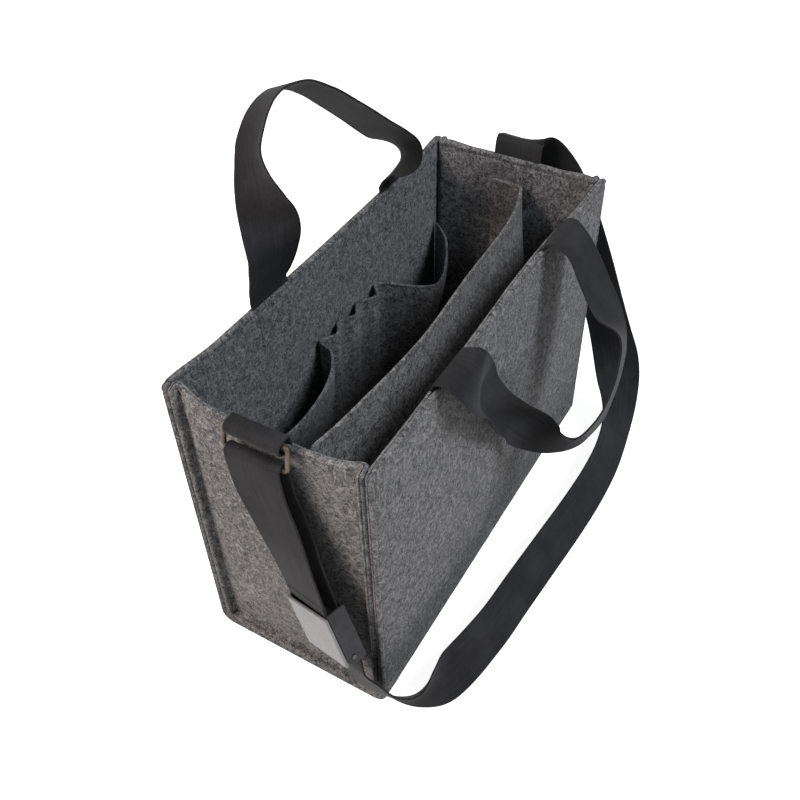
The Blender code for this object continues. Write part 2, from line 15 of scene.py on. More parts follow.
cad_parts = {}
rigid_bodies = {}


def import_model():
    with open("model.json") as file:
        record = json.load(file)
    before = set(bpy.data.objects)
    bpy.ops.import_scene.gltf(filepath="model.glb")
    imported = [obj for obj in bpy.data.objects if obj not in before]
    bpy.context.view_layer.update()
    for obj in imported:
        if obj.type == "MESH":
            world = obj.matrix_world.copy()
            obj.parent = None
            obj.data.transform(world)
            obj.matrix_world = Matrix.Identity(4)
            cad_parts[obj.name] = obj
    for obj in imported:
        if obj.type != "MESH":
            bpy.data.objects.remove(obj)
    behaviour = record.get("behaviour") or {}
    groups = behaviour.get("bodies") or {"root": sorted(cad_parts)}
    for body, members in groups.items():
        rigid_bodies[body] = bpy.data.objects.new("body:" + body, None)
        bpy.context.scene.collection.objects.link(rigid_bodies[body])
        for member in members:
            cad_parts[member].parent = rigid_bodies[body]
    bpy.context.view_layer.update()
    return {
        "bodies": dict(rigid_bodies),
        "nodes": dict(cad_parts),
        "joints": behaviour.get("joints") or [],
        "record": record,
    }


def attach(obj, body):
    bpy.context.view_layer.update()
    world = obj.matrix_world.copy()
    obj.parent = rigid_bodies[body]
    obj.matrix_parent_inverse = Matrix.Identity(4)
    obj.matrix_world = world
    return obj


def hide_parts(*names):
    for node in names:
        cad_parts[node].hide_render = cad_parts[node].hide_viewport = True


MM = 0.001
TINY = 1e-9
WELD = 0.00001
SLIVER = 0.000001
SMOOTH_ANGLE = 55
BAND_SMOOTH_ANGLE = 70

# Camera, read from the photograph
CAMERA_AT = Vector((-0.5384, -0.3151, 0.7553))
CAMERA_AZIMUTH = -58.535
CAMERA_ELEVATION = 44.007
CAMERA_ROLL = -1.70
CAMERA_LENS = 41.58
SENSOR = 36.0

# Bag body
HALF_LENGTH = 210.0
HALF_WIDTH = 90.0
HEIGHT = 300.0
FELT = 3.0
LAYER = 3.1
FOLD_RADIUS = 12.5
OUTER_INSET = 1.5
INNER_INSET = OUTER_INSET + LAYER
TRAY_INNER_INSET = INNER_INSET + LAYER
TRAY_OUTER_INSET = TRAY_INNER_INSET + LAYER
BEND_X = 203.0
INNER_BEND = 6.0
OUTER_BEND = INNER_BEND - LAYER
BEND_INSET = TRAY_INNER_INSET + INNER_BEND
RIM_SEAM = 5.0
RIDGE_SEAM = 5.0
SEAM_DEPTH = 0.7
SEAM_WIDTH = 1.3
EDGE_MARKS = (0.0, 0.1, 0.4, 0.9, 1.6, 2.4, 3.2)
EDGE_ROUND = 2.8
MATE_SHARE = 0.8
SEAM_MARKS = (-2.6, -1.5, -0.7, 0.0, 0.7, 1.5, 2.6)

# Spacing of the felt's grid lines: even steps keep clear of the close ones at edges and seams
CLEAR_OF_FINE = 0.45
CLOSEST = 0.05
STRIP_PITCH = 5.0
PANEL_PITCH = 6.0
DIVIDER_PITCH = 4.5
POCKET_PITCH = 2.6

# End panels: grid lines across the panel, and where its corners and rim band begin
PANEL_INSETS = (16, 18.5, 22, 27, 33, 40, 48, 57, 66, 74, 81, 86, HALF_WIDTH)
CLEAR_OF_SEAM = 20.0
TRAY_CORNER = 40.0
RIM_BAND = 12.0
CORNER_START = 10.0
CORNER_GROWTH = 0.35
BEND_STEPS = 6
CORNER_STEPS = 8
FLOOR_STEPS = 24

# Where the walls' own moves fade in, and where they fade out towards the corners
WALL_Y = (58.0, 82.0)
WALL_X = (172.0, 196.0)
ALONG_END = 204.0
ACROSS_END = 84.0
PANEL_END = 82.0
PANEL_FOOT = 70.0

# How far the felt hangs from its flat shape: bellies and bows out, rims in, dips down
FRONT_BELLY = 3.0
FRONT_RIM_IN = 2.2
FRONT_LEAN = 5.0
LEAN_AT = 55.0
LEAN_SPREAD = 105.0
BACK_BELLY = 2.0
BACK_RIM_IN = 1.0
END_BELLY = 1.5
LEFT_RIM_OUT = 4.5
LEFT_BOW = 3.0
LEFT_DIP = 5.0
RIGHT_BOW = 7.0
RIGHT_RISE = 2.5
RIM_DIP = 1.2
FRONT_WAVE = 47.0
BACK_WAVE = 53.0
RIM_WAVE = 38.0

# Raised corners of the rim: mean rise, more to the right, more to the back, more on one diagonal
EAR_RISE = (4.0, 1.2, 0.6, -0.8)
EAR_X = (150.0, 198.0)
EAR_Y = (45.0, 78.0)
CORNER_DROP = 3.0
CORNER_X = (HALF_LENGTH - 7.0, HALF_LENGTH + 1.0)

# How far the felt layers part where the webbing leaves the rim: outer layer, inner layer
FRONT_MOUTH = (1.6, 0.5)
BACK_MOUTH = (0.5, 1.3)
MOUTH_DEPTH = 13.0
MOUTH_HALF = 25.0

# Unevenness of the felt: size, height, then finer size and height
RELIEF = ((14.0, 0.35), (4.5, 0.16))
INSIDE_RELIEF = 0.6
FINE_SEED = 3
SEED_SHIFT = (7.31, 3.17, 5.93)

# Webbing
WIDTH = 48.0
WEBBING = 1.6
SEWN_Y = 85.9
SEWN_X = 197.9
HINGE_Z = 306.0
FRONT_MIDDLE = 4.0
BACK_MIDDLE = 17.0
HANDLE_HALF = 98.0
HANDLE_STEPS = 260
STRAP_STEPS = 330
LOOP_STEPS = 240
SEWN_STEPS = 40
SEWN_IN = 0.4
SEWN_HEIGHTS = (256, 268, 280, 290, 298)
SEWN_NECK = 2.4
JOINT_ROOM = 0.15
STRAP_ROOM = 0.3
LOOP_ROOM = 0.6
TAB_STEPS = 48
STUB_STEPS = 60
STRAP_CUP = 0.4
HEM_AT = 6.0
HEM_ENDS = (7.5, 9.5)
HEM_EXTRA = 0.7
HEM_HALF = 22.0
HEM_OUT = 0.72

# Across the webbing: share of the half width, and share of the half thickness
WEB_SECTION = (
    (-1.0, 0.0), (-0.994, 0.55), (-0.98, 0.90), (-0.955, 1.10), (-0.92, 1.08), (-0.88, 0.96), (-0.6, 1.0),
    (-0.3, 1.03), (0.0, 1.04), (0.3, 1.03), (0.6, 1.0), (0.88, 0.96), (0.92, 1.08), (0.955, 1.10),
    (0.98, 0.90), (0.994, 0.55), (1.0, 0.0),
)

# The two faces of a band lie this many half widths apart on its weave map
BACK_FACE_SHIFT = 2.5

# A curved band's chord is shorter than the band by this share of (curve depth / width) squared
CURVE_SHARE = 8 / 3

# How a handle folds lengthwise: depth, then the shares of its length where the fold begins and ends
FRONT_FOLD = (-15.0, (0.06, 0.17), (0.36, 0.46))
BACK_FOLD = (5.0, (0.06, 0.16), (0.30, 0.42))

# How far a handle's neck leans in between its seam and its hinge
FRONT_NECK_IN = 1.6
BACK_NECK_IN = 0.1

# Webbing at the end panels, up to its joint: out from the sewn line, then height
TAB_PROFILE = ((6.5, 256), (7.2, 280), (7.6, 292), (8.2, 299.5), (9.4, 303.6))
STUB_PROFILE = ((5.3, 256), (6.7, 285), (7.7, 300), (8.6, 309), (10.2, 315.5), (12.4, 318.3))

# Sewing thread: one stitch as shares of its length and girth, and where its lines begin
STITCH = 2.7
STITCH_PITCH = 3.7
STITCH_SHAPE = ((0.0, 0.35), (0.18, 0.85), (0.5, 1.0), (0.82, 0.85), (1.0, 0.35))
THREAD = 0.42
THREAD_SIDES = 6
THREAD_PROUD = 0.3
RIM_THREAD_IN = 6.0
END_THREAD_IN = 16.0
RIDGE_THREAD_IN = 8.0
RIM_POINTS = 160
END_POINTS = 80
RIDGE_POINTS = 320
BOX_HALF = 19.0
BOX_HEIGHTS = (258.0, 290.0)
THREAD_POINTS = 12

# Divider and pocket
DIVIDER_TOP = 282.0
DIVIDER_NEAR_Y = -28.0
DIVIDER_FAR_Y = -13.0
DIVIDER_FLANGE = 32.0
DIVIDER_BEND = 4.0
DIVIDER_BEND_STEPS = 4
DIVIDER_BOW_STEPS = 16
DIVIDER_BOW = 14.0
DIVIDER_BULGE = 11.0
DIVIDER_X = 193.7
DIVIDER_SEWN = 12.0
DIVIDER_FREE = 60.0
DIVIDER_SWAY = 1.6
DIVIDER_SWAY_WAVE = 31.0
DIVIDER_DIP = 1.5
DIVIDER_DIP_WAVE = 44.0
DIVIDER_GROOVE = 0.5
DIVIDER_POINTS = 1200
FLOOR_Z = 6.5
POCKET_TOP = 212.0
POCKET_BOTTOM = 70.0
POCKET_WALL_Y = 81.7
POCKET_FELT = 2.6
POCKET_SEAM = 4.0
POCKET_DIP = 3.0
POCKET_STANDS = (10.0, 45.0)
POCKET_GROOVE = 0.6
POCKET_POINTS = 900
PLEAT = 1.1
PLEAT_WAVE = 5.3
PLEAT_STANDS = (4.0, 25.0)

# Strap hardware
LEFT_JOINT = (-209.0, 305.0)
RIGHT_JOINT = (211.9, 319.0)
ROLL_CENTRE = (-215.0, 299.5)
ROLL_RADIUS = 5.5
ROLL_DEGREES = 230.0
ROLL_STEPS = 16
RING_HIGH = Vector((-215.0, 0.0, 301.0))
RING_LOW = Vector((-219.0, 0.0, 281.5))
RING_WIRE = 4.0
RING_HALF = 27.5
RING_CORNER = 3.0
RING_CORNER_STEPS = 8
RING_PITCH = 3.0
RING_SIDES = 16
LOOP_CENTRE = (-219.0, 280.0)
LOOP_RADIUS = 5.0
LOOP_BEND_STEPS = 6
PIN_AT = Vector((-231.0, -59.0, 106.0))
BUCKLE_ACROSS = Vector((-0.27, -0.89, 0.37))
BUCKLE_DOWN = Vector((-0.07, -0.37, -0.93))
BUCKLE_TOP = 47.0
BUCKLE_BOTTOM = -6.5
STRAP_Z = -6.0
LOOP_END_Z = 5.0

# Long strap: place in millimetres, then the direction of its upper edge
STRAP_ROUTE = (
    (-228, -71, 78, -0.32, -0.79, 0.52),
    (-227, -84, 61, -0.22, -0.64, 0.73),
    (-222, -99, 46, -0.30, -0.52, 0.80),
    (-210, -113, 36, -0.42, -0.20, 0.88),
    (-192, -123, 29, -0.36, 0.18, 0.92),
    (-165, -132, 22, -0.05, 0.50, 0.86),
    (-109, -142, 21, 0.00, 0.50, 0.86),
    (-60, -146, 21, 0.00, 0.50, 0.86),
    (0, -151, 21, 0.00, 0.50, 0.86),
    (50, -155, 21, 0.00, 0.50, 0.86),
    (100, -157, 21, 0.00, 0.50, 0.86),
    (146, -155, 22, -0.05, 0.53, 0.84),
    (186, -148, 29, -0.15, 0.62, 0.77),
    (215, -138, 46, -0.32, 0.78, 0.52),
    (232, -124, 75, -0.25, 0.93, 0.12),
    (239, -109, 108, -0.05, 0.97, -0.20),
    (240, -92, 150, 0.00, 0.94, -0.34),
    (240, -76, 190, 0.00, 0.92, -0.38),
    (239, -56, 236, 0.00, 0.92, -0.40),
    (236, -36, 276, 0.00, 0.90, -0.42),
    (232, -20, 298, 0.00, 0.94, -0.34),
    (227, -9, 309.5, 0.00, 0.98, -0.20),
    (219.5, -2, 316.5, 0.00, 1.00, -0.06),
)

# Front handle: along from its middle, out from its hinge, rise, then its width direction
FRONT_HANDLE = (
    (-98, 5.5, 2.0, 1.00, 0.01, 0.01),
    (-97.5, 11, 1.2, 1.00, 0.02, 0.02),
    (-95.5, 16.5, -3, 0.98, 0.06, 0.12),
    (-90, 20.5, -12, 0.93, 0.14, 0.30),
    (-77, 23, -30, 0.85, 0.22, 0.45),
    (-60, 22.5, -57, 0.80, 0.20, 0.56),
    (-36, 21, -92, 0.78, 0.02, 0.62),
    (-14, 24, -120, 0.64, -0.26, 0.72),
    (0, 35, -141, 0.28, -0.52, 0.80),
    (8, 54, -149, -0.12, -0.48, 0.87),
    (15, 71, -143, -0.42, -0.32, 0.85),
    (24, 83, -124, -0.58, -0.14, 0.80),
    (38, 87, -103, -0.65, -0.12, 0.75),
    (54, 86, -82, -0.68, -0.10, 0.72),
    (68, 80, -64, -0.75, -0.05, 0.66),
    (78, 62, -51, -0.92, 0.17, 0.35),
    (88, 42, -30, -0.94, 0.18, 0.28),
    (96, 24, -9, -0.97, 0.08, 0.20),
    (98, 11, 0, -1.00, 0.00, 0.03),
    (98, 5, 2, -1.00, 0.00, 0.01),
)

# Back handle, in the same terms
BACK_HANDLE = (
    (-97, -0.5, 6, 1.00, -0.06, -0.02),
    (-94, -2, 16, 0.98, -0.18, -0.06),
    (-90, -3.5, 31, 0.93, -0.34, -0.12),
    (-87, -2, 52, 0.70, -0.68, 0.15),
    (-88, 3, 76, 0.15, -0.84, 0.48),
    (-88, 8, 97, -0.22, -0.84, 0.47),
    (-85, 12, 111, -0.36, -0.84, 0.40),
    (-75, 15, 122, -0.38, -0.83, 0.41),
    (-60, 16, 134, -0.45, -0.80, 0.40),
    (-45, 11, 143, -0.50, -0.75, 0.42),
    (-30, 4, 142, -0.40, -0.78, 0.48),
    (-17, -4, 134, -0.40, -0.77, 0.50),
    (5, -9, 115.5, -0.38, -0.79, 0.49),
    (40, -11, 85.5, -0.30, -0.84, 0.46),
    (70, -12, 59.5, -0.22, -0.86, 0.46),
    (89, -12, 42, -0.30, -0.84, 0.44),
    (98, -11, 29, -0.50, -0.78, 0.36),
    (101, -8, 17, -0.84, -0.48, 0.25),
    (99, -2.5, 7, -0.99, -0.12, 0.03),
)

# Loop of the strap on the ring, outer layer and inner layer
LOOP_OUTER = (
    (-226, -5, 254, -0.02, -1.00, 0.05),
    (-228, -16, 224, -0.08, -0.97, 0.20),
    (-231, -29, 187, -0.20, -0.92, 0.32),
)
LOOP_INNER = (
    (-216, -6, 252, -0.02, -1.00, 0.05),
    (-217, -17, 223, -0.08, -0.97, 0.20),
    (-220, -30, 186, -0.20, -0.92, 0.32),
)

# Pocket's upper edge from above: x, and how far it stands off the back wall
POCKET_PLAN = (
    (-193, 0), (-185, 14), (-160, 32), (-133, 41), (-112, 42), (-89, 40), (-70, 36), (-51, 29),
    (-33, 16), (-26, 0), (-10, 8), (5, 0), (22, 8), (37, 0), (56, 10), (71, 0), (86, 28),
    (100, 49), (114, 50), (143, 39), (173, 22), (193, 0),
)

# Colours as dark and light, with a tint for felt
WEBBING_COLOURS = ((0.011, 0.011, 0.012), (0.026, 0.026, 0.028))
OUTER_FELT_COLOURS = ((0.050, 0.049, 0.050), (0.160, 0.157, 0.158), (0.104, 0.101, 0.100))
# The inner felt is a darker copy of the outer felt: painted shade for the dim inside of the bag
SHADED_INNER_FELT_COLOURS = ((0.044, 0.045, 0.049), (0.150, 0.152, 0.160), (0.090, 0.091, 0.096))
THREAD_COLOURS = ((0.018, 0.018, 0.019), (0.05, 0.049, 0.05))

# Metals: material name, dark, light, metallic share, roughness
RING_METAL = ("tan_brass", (0.07, 0.058, 0.05), (0.13, 0.11, 0.094), 0.75, 0.45)
BUCKLE_METALS = {
    "buckle_lever": ("pale_cover", (0.180, 0.180, 0.190), (0.222, 0.222, 0.230), 0.15, 0.45),
    "buckle_base": ("dark_channel", (0.022, 0.022, 0.024), (0.040, 0.040, 0.043), 0.35, 0.50),
    "buckle_pin": ("pin_metal", (0.05, 0.05, 0.05), (0.10, 0.10, 0.10), 0.9, 0.45),
}

# Felt's fibres: size, stretch, pale or not, strength
STRANDS = (
    (95.0, (1.0, 0.8, 0.6), True, 0.58),
    (120.0, (0.6, 1.0, 0.8), False, 0.78),
    (150.0, (0.8, 0.6, 1.0), True, 0.48),
)

# Weave of the webbing, in metres
RIB_PITCH = 0.0013
YARN_PITCH = 0.0016
TWILL_PITCH = 0.002992

# Studio, in metres: lamps as place, target, size, power and colour
LAMPS = {
    "key_left": ((-1.4, 0.8, 1.5), (-0.1, 0, 0.15), 0.8, 38, (1.0, 0.90, 0.83)),
    "front_fill": ((0.05, -1.45, 1.95), (0, 0, 0.15), 0.7, 33, (0.92, 0.96, 1.0)),
}
AMBIENT = 0.14
AMBIENT_COLOUR = (0.93, 0.96, 1.0, 1)
FLOOR_GLOW = 0.90
FLOOR_RADIUS = 6.0
FLOOR_SEGMENTS = 64
FLOOR_Z_OFFSET = -0.0005


def step(low, high, value):
    """Smooth step from 0 at low to 1 at high, on numbers or arrays."""
    u = np.clip((value - low) / (high - low), 0.0, 1.0)
    return u * u * (3 - 2 * u)


def sag(points):
    """Where the soft body really hangs: rims dip and bow between raised corners, panels swell a little.
    Arrays of millimetres."""
    moved = np.array(points, float)
    x, y, z = np.moveaxis(moved.copy(), -1, 0)
    h = np.clip(z / HEIGHT, 0.0, 1.05)
    front, back = step(*WALL_Y, -y), step(*WALL_Y, y)
    left, right = step(*WALL_X, -x), step(*WALL_X, x)
    along = np.clip(1 - (x / ALONG_END) ** 4, 0, 1)
    across = np.clip(1 - (y / ACROSS_END) ** 4, 0, 1)
    flat = np.clip(1 - (y / PANEL_END) ** 8, 0, 1) * step(0, PANEL_FOOT, z)
    belly = np.sin(np.pi * np.clip(h, 0, 1)) ** 2
    lean = FRONT_LEAN * np.exp(-((x - LEAN_AT) / LEAN_SPREAD) ** 2)
    front_swell = FRONT_BELLY * belly * (0.8 + 0.2 * np.sin(x / FRONT_WAVE))
    back_swell = BACK_BELLY * belly * (0.8 + 0.3 * np.sin(x / BACK_WAVE + 1))
    rim_wave = 0.6 + 0.4 * np.cos(x / RIM_WAVE + 0.7)
    u, v = x / HALF_LENGTH, y / HALF_WIDTH
    mean, to_right, to_back, diagonal = EAR_RISE
    ears = mean + to_right * u + to_back * v + diagonal * u * v
    ears = ears * step(*EAR_X, np.abs(x)) * step(*EAR_Y, np.abs(y))
    ears -= CORNER_DROP * step(*CORNER_X, np.abs(x))
    moved[..., 1] += front * along * (h**4 * (FRONT_RIM_IN + lean) - front_swell)
    moved[..., 1] += back * along * (back_swell - BACK_RIM_IN * h**4)
    moved[..., 0] -= left * (across * (LEFT_RIM_OUT * h**3 + END_BELLY * belly) + LEFT_BOW * flat)
    moved[..., 0] += right * across * (RIGHT_BOW * h**3 + END_BELLY * belly)
    moved[..., 2] -= left * across * LEFT_DIP * h**6
    moved[..., 2] += right * across * RIGHT_RISE * h**6
    moved[..., 2] -= (front + back) * along * RIM_DIP * h**6 * rim_wave
    moved[..., 2] += ears * h**8
    return moved


def run_along(points):
    """Distance along a line of points, from its first."""
    return np.concatenate(([0.0], np.cumsum(np.linalg.norm(np.diff(points, axis=0), axis=1))))


def smooth(stations, count):
    """Places and width directions at even steps along a smooth curve through stations."""
    data = np.array(stations, float)
    data[:, 3:] /= np.linalg.norm(data[:, 3:], axis=1)[:, None]
    run = run_along(data[:, :3])
    slopes = np.empty_like(data)
    for i in range(len(data)):
        low, high = max(i - 1, 0), min(i + 1, len(data) - 1)
        slopes[i] = (data[high] - data[low]) / (run[high] - run[low])
    at = np.linspace(0, run[-1], count + 1)
    i = np.clip(np.searchsorted(run, at, side="left") - 1, 0, len(run) - 2)
    gap = (run[i + 1] - run[i])[:, None]
    u = (at - run[i])[:, None] / gap
    found = (data[i] * (2 * u**3 - 3 * u**2 + 1) + slopes[i] * gap * (u**3 - 2 * u**2 + u)
             + data[i + 1] * (3 * u**2 - 2 * u**3) + slopes[i + 1] * gap * (u**3 - u**2))
    found[:, 3:] /= np.linalg.norm(found[:, 3:], axis=1)[:, None]
    return found


def arc(centre, radius, start, end, steps):
    """Points on an arc between two angles in degrees."""
    turns = np.radians(np.linspace(start, end, steps + 1))
    return [(centre[0] + radius * math.cos(a), centre[1] + radius * math.sin(a)) for a in turns]


def marks(length, pitch, seams=(), soft=(True, True)):
    """Distances along a sheet: even steps, closer at a rounded edge and at each sewn seam."""
    fine = []
    if soft[0]:
        fine += list(EDGE_MARKS)
    if soft[1]:
        fine += [length - m for m in EDGE_MARKS]
    for seam in seams:
        fine += [seam + m for m in SEAM_MARKS]
    fine = [f for f in fine if 0 <= f <= length]
    even = np.linspace(0, length, max(2, round(length / pitch)) + 1)
    kept = [e for e in even if all(abs(e - f) > CLEAR_OF_FINE * pitch for f in fine)]
    ordered = sorted({round(v, 4) for v in fine + kept + [0.0, length]})
    return np.array([v for k, v in enumerate(ordered) if k == 0 or v - ordered[k - 1] > CLOSEST])


def rounded(distance, radius):
    """Share of the full thickness left at a distance from a rounded edge."""
    u = np.clip(distance / radius, 0, 1)
    return np.sqrt(np.clip(1 - (1 - u) ** 2, 0, 1))


def groove(distance):
    """How deep the thread draws the felt in, at a distance from a seam."""
    return SEAM_DEPTH * np.exp(-((distance / SEAM_WIDTH) ** 2))


def relief(points, size, height, seed):
    """Repeatable unevenness of a soft surface."""
    flat = points.reshape(-1, 3) / size
    offset = Vector([seed * shift for shift in SEED_SHIFT])
    found = np.array([noise.noise(Vector(p) + offset) for p in flat])
    return height * found.reshape(points.shape[:-1])


def normals_of(grid, fallback):
    """Unit normals of a grid of points, with a stand-in where two points meet."""
    cross = np.cross(np.gradient(grid, axis=0), np.gradient(grid, axis=1))
    size = np.linalg.norm(cross, axis=-1, keepdims=True)
    return np.where(size > TINY, cross / np.maximum(size, TINY), np.array(fallback))


def link_object(name, data):
    """A new object in the scene."""
    made = bpy.data.objects.new(name, data)
    bpy.context.scene.collection.objects.link(made)
    return made


def add_object(name, bm, look, smooth_angle=SMOOTH_ANGLE):
    """A mesh object with one material, smooth up to an angle."""
    mesh = bpy.data.meshes.new(name)
    bmesh.ops.recalc_face_normals(bm, faces=bm.faces)
    bm.to_mesh(mesh)
    bm.free()
    mesh.shade_smooth()
    mesh.set_sharp_from_angle(angle=math.radians(smooth_angle))
    mesh.materials.append(look)
    return link_object(name, mesh)


def skin(bm, rings):
    """Faces between rings of vertices that follow one another."""
    for here, after in zip(rings, rings[1:]):
        for i in range(len(here)):
            j = (i + 1) % len(here)
            bm.faces.new((here[i], here[j], after[j], after[i]))


def thick_sheet(name, grid, share, dents, look, thickness=FELT, seed=1, fallback=(0.0, 0.0, 1.0), mate=0):
    """A closed felt piece from a grid of its middle surface. share thins its edges to nothing, so that they
    come out round, and dents sinks both faces along the seams. mate is the side where another layer lies:
    the edge closes against that side, so that two layers make one round edge."""
    normal = normals_of(grid, fallback)
    grid = grid + (mate * MATE_SHARE * thickness / 2 * (1 - share))[..., None] * normal
    half = thickness / 2 * share
    coarse, fine = RELIEF
    rough = relief(grid, *coarse, seed) + relief(grid, *fine, seed + FINE_SEED)
    lift = np.maximum(half - dents, 0)[..., None] * normal
    fuzz = (rough * np.minimum(share, 1))[..., None] * normal
    faces = [grid + lift + fuzz, grid - lift + INSIDE_RELIEF * fuzz]
    bm = bmesh.new()
    rows, columns = grid.shape[:2]
    for side, points in enumerate(faces):
        verts = [[bm.verts.new(points[i, j] * MM) for j in range(columns)] for i in range(rows)]
        for i in range(rows - 1):
            for j in range(columns - 1):
                corner = [verts[i][j], verts[i + 1][j], verts[i + 1][j + 1], verts[i][j + 1]]
                bm.faces.new(corner if side == 0 else corner[::-1])
    bmesh.ops.remove_doubles(bm, verts=bm.verts, dist=WELD)
    bmesh.ops.dissolve_degenerate(bm, dist=SLIVER, edges=bm.edges)
    return add_object(name, bm, look)


def u_length(inset):
    """Length of the body's U from the front rim round the bottom to the back rim."""
    radius = FOLD_RADIUS - inset
    return 2 * (HEIGHT - FOLD_RADIUS) + math.pi * radius + 2 * (HALF_WIDTH - FOLD_RADIUS)


def u_points(inset, along):
    """Points of the U as (y, z), at distances along it. Its back half mirrors its front half."""
    radius = FOLD_RADIUS - inset
    straight = HEIGHT - FOLD_RADIUS
    bend = math.pi / 2 * radius
    flat_y = HALF_WIDTH - FOLD_RADIUS
    length = u_length(inset)
    found = []
    for s in along:
        side = -1 if s <= length / 2 else 1
        run = min(s, length - s)
        a = np.clip((run - straight) / radius, 0.0, math.pi / 2)
        y = flat_y + radius * math.cos(a) - max(run - straight - bend, 0.0)
        z = HEIGHT - min(run, straight) - radius * math.sin(a)
        found.append((side * y, z))
    return np.array(found)


def part_layers(points, outward):
    """How far a felt layer stands away from the webbing that comes out of the rim."""
    x, y, z = np.moveaxis(points, -1, 0)
    moved = np.zeros_like(x)
    near_rim = np.exp(-np.clip(HEIGHT - z, 0, None) / MOUTH_DEPTH)
    for side, middle, size in ((-1, FRONT_MIDDLE, FRONT_MOUTH), (1, BACK_MIDDLE, BACK_MOUTH)):
        for end in (-1, 1):
            mouth = np.exp(-(((x - middle - end * HANDLE_HALF) / MOUTH_HALF) ** 4))
            amount = size[0] if outward else size[1]
            moved += np.where(side * y > 0, side, 0) * mouth * near_rim * amount
    return moved if outward else -moved


def body_strip(name, inset, outward, look, seed):
    """The front, the bottom and the back in one length of felt."""
    length = u_length(inset)
    along = marks(length, STRIP_PITCH, (RIM_SEAM, length - RIM_SEAM))
    x = marks(2 * HALF_LENGTH, PANEL_PITCH, (RIDGE_SEAM, 2 * HALF_LENGTH - RIDGE_SEAM))
    profile = u_points(inset, along)
    grid = np.empty((len(x), len(along), 3))
    grid[..., 0] = (x - HALF_LENGTH)[:, None]
    grid[..., 1:] = profile[None]
    grid[..., 1] += part_layers(grid, outward)
    edge_x = np.minimum(x, x[-1] - x)
    edge_s = np.minimum(along, length - along)
    share = rounded(edge_x, EDGE_ROUND)[:, None] * rounded(edge_s, EDGE_ROUND)[None]
    dents = np.maximum(groove(edge_x - RIDGE_SEAM)[:, None], groove(edge_s - RIM_SEAM)[None])
    return thick_sheet(name, sag(grid), share, dents, look, seed=seed, mate=1 if outward else -1)


def tray_profile(flange_inset, bend):
    """An end panel in section, from a flange's edge to the panel's middle: inset, x, run from the edge."""
    profile = [(flange_inset, HALF_LENGTH - m, m) for m in EDGE_MARKS]
    for m in SEAM_MARKS[1:]:
        run = RIDGE_SEAM + m
        if EDGE_MARKS[-1] < run < HALF_LENGTH - BEND_X:
            profile.append((flange_inset, HALF_LENGTH - run, run))
    for inset, x in arc((BEND_INSET, BEND_X), bend, 180, 270, BEND_STEPS):
        profile.append((inset, x, CLEAR_OF_SEAM))
    profile += [(inset, BEND_X - bend, CLEAR_OF_SEAM) for inset in PANEL_INSETS]
    return profile


def tray_line(inset):
    """One line of an end panel's grid: down from the rim, round a corner, across and up again, as (y, z)."""
    radius = max(FOLD_RADIUS - inset, min(CORNER_GROWTH * (inset - CORNER_START), HALF_WIDTH - inset), 0.0)
    corner = inset + radius
    low = max(corner, TRAY_CORNER)
    deep = HEIGHT - TRAY_CORNER
    band = HEIGHT - RIM_BAND
    down = []
    for t in marks(deep, PANEL_PITCH, (RIM_SEAM,), (True, False)):
        below = t - RIM_BAND
        down.append(HEIGHT - t if below < 0 else band - below * (band - low) / (deep - RIM_BAND))
    steps = np.linspace(0, 1, CORNER_STEPS + 1)[1:]
    down += [low + u * (corner - low) for u in steps]
    line = [(-HALF_WIDTH + inset, z) for z in down]
    for u in steps[:-1]:
        a = math.pi + u * math.pi / 2
        line.append((-HALF_WIDTH + corner + radius * math.cos(a), corner + radius * math.sin(a)))
    side = list(line)
    for u in np.linspace(0, 1, FLOOR_STEPS + 1):
        line.append(((2 * u - 1) * (HALF_WIDTH - corner), inset))
    return line + [(-y, z) for y, z in reversed(side)]


def end_tray(name, side, flange_inset, bend, look, seed, mate):
    """An end panel whose three sewn edges turn outward and lie along the body's edges."""
    profile = tray_profile(flange_inset, bend)
    grid = np.array([[(side * x, y, z) for y, z in tray_line(inset)] for inset, x, _ in profile])
    count = grid.shape[1]
    rim = HEIGHT - grid[0, :, 2]
    # Only the outer thirds of a line run up to the rim
    rim[count // 3:-(count // 3)] = HEIGHT
    edge = np.array([row[2] for row in profile])
    share = rounded(edge, EDGE_ROUND)[:, None] * rounded(rim, EDGE_ROUND)[None]
    dents = np.maximum(groove(edge - RIDGE_SEAM)[:, None], groove(rim - RIM_SEAM)[None])
    return thick_sheet(name, sag(grid), share, dents, look, seed=seed, fallback=(side, 0.0, 0.0), mate=mate)


def divider_plan(points):
    """The divider from above: flat on the near end wall, across the bag in a bow, flat on the far one."""
    r = DIVIDER_BEND
    plan = [(-DIVIDER_X, DIVIDER_NEAR_Y - DIVIDER_FLANGE), (-DIVIDER_X, DIVIDER_NEAR_Y - DIVIDER_SEWN)]
    plan += arc((-DIVIDER_X + r, DIVIDER_NEAR_Y - r), r, 180, 90, DIVIDER_BEND_STEPS)
    first, last = np.array(plan[-1]), np.array((DIVIDER_X - r, DIVIDER_FAR_Y))
    for u in np.linspace(0, 1, DIVIDER_BOW_STEPS + 1)[1:-1]:
        x, y = first + (last - first) * u
        plan.append((x, y - DIVIDER_BOW * (1 - (2 * u - 1) ** 4)))
    plan += arc((DIVIDER_X - r, DIVIDER_FAR_Y + r), r, 270, 360, DIVIDER_BEND_STEPS)
    plan += [(DIVIDER_X, DIVIDER_FAR_Y + DIVIDER_SEWN), (DIVIDER_X, DIVIDER_FAR_Y + DIVIDER_FLANGE)]
    stations = [(x, y, 0, 0, 0, 1) for x, y in plan]
    return smooth(stations, points)[:, :2]


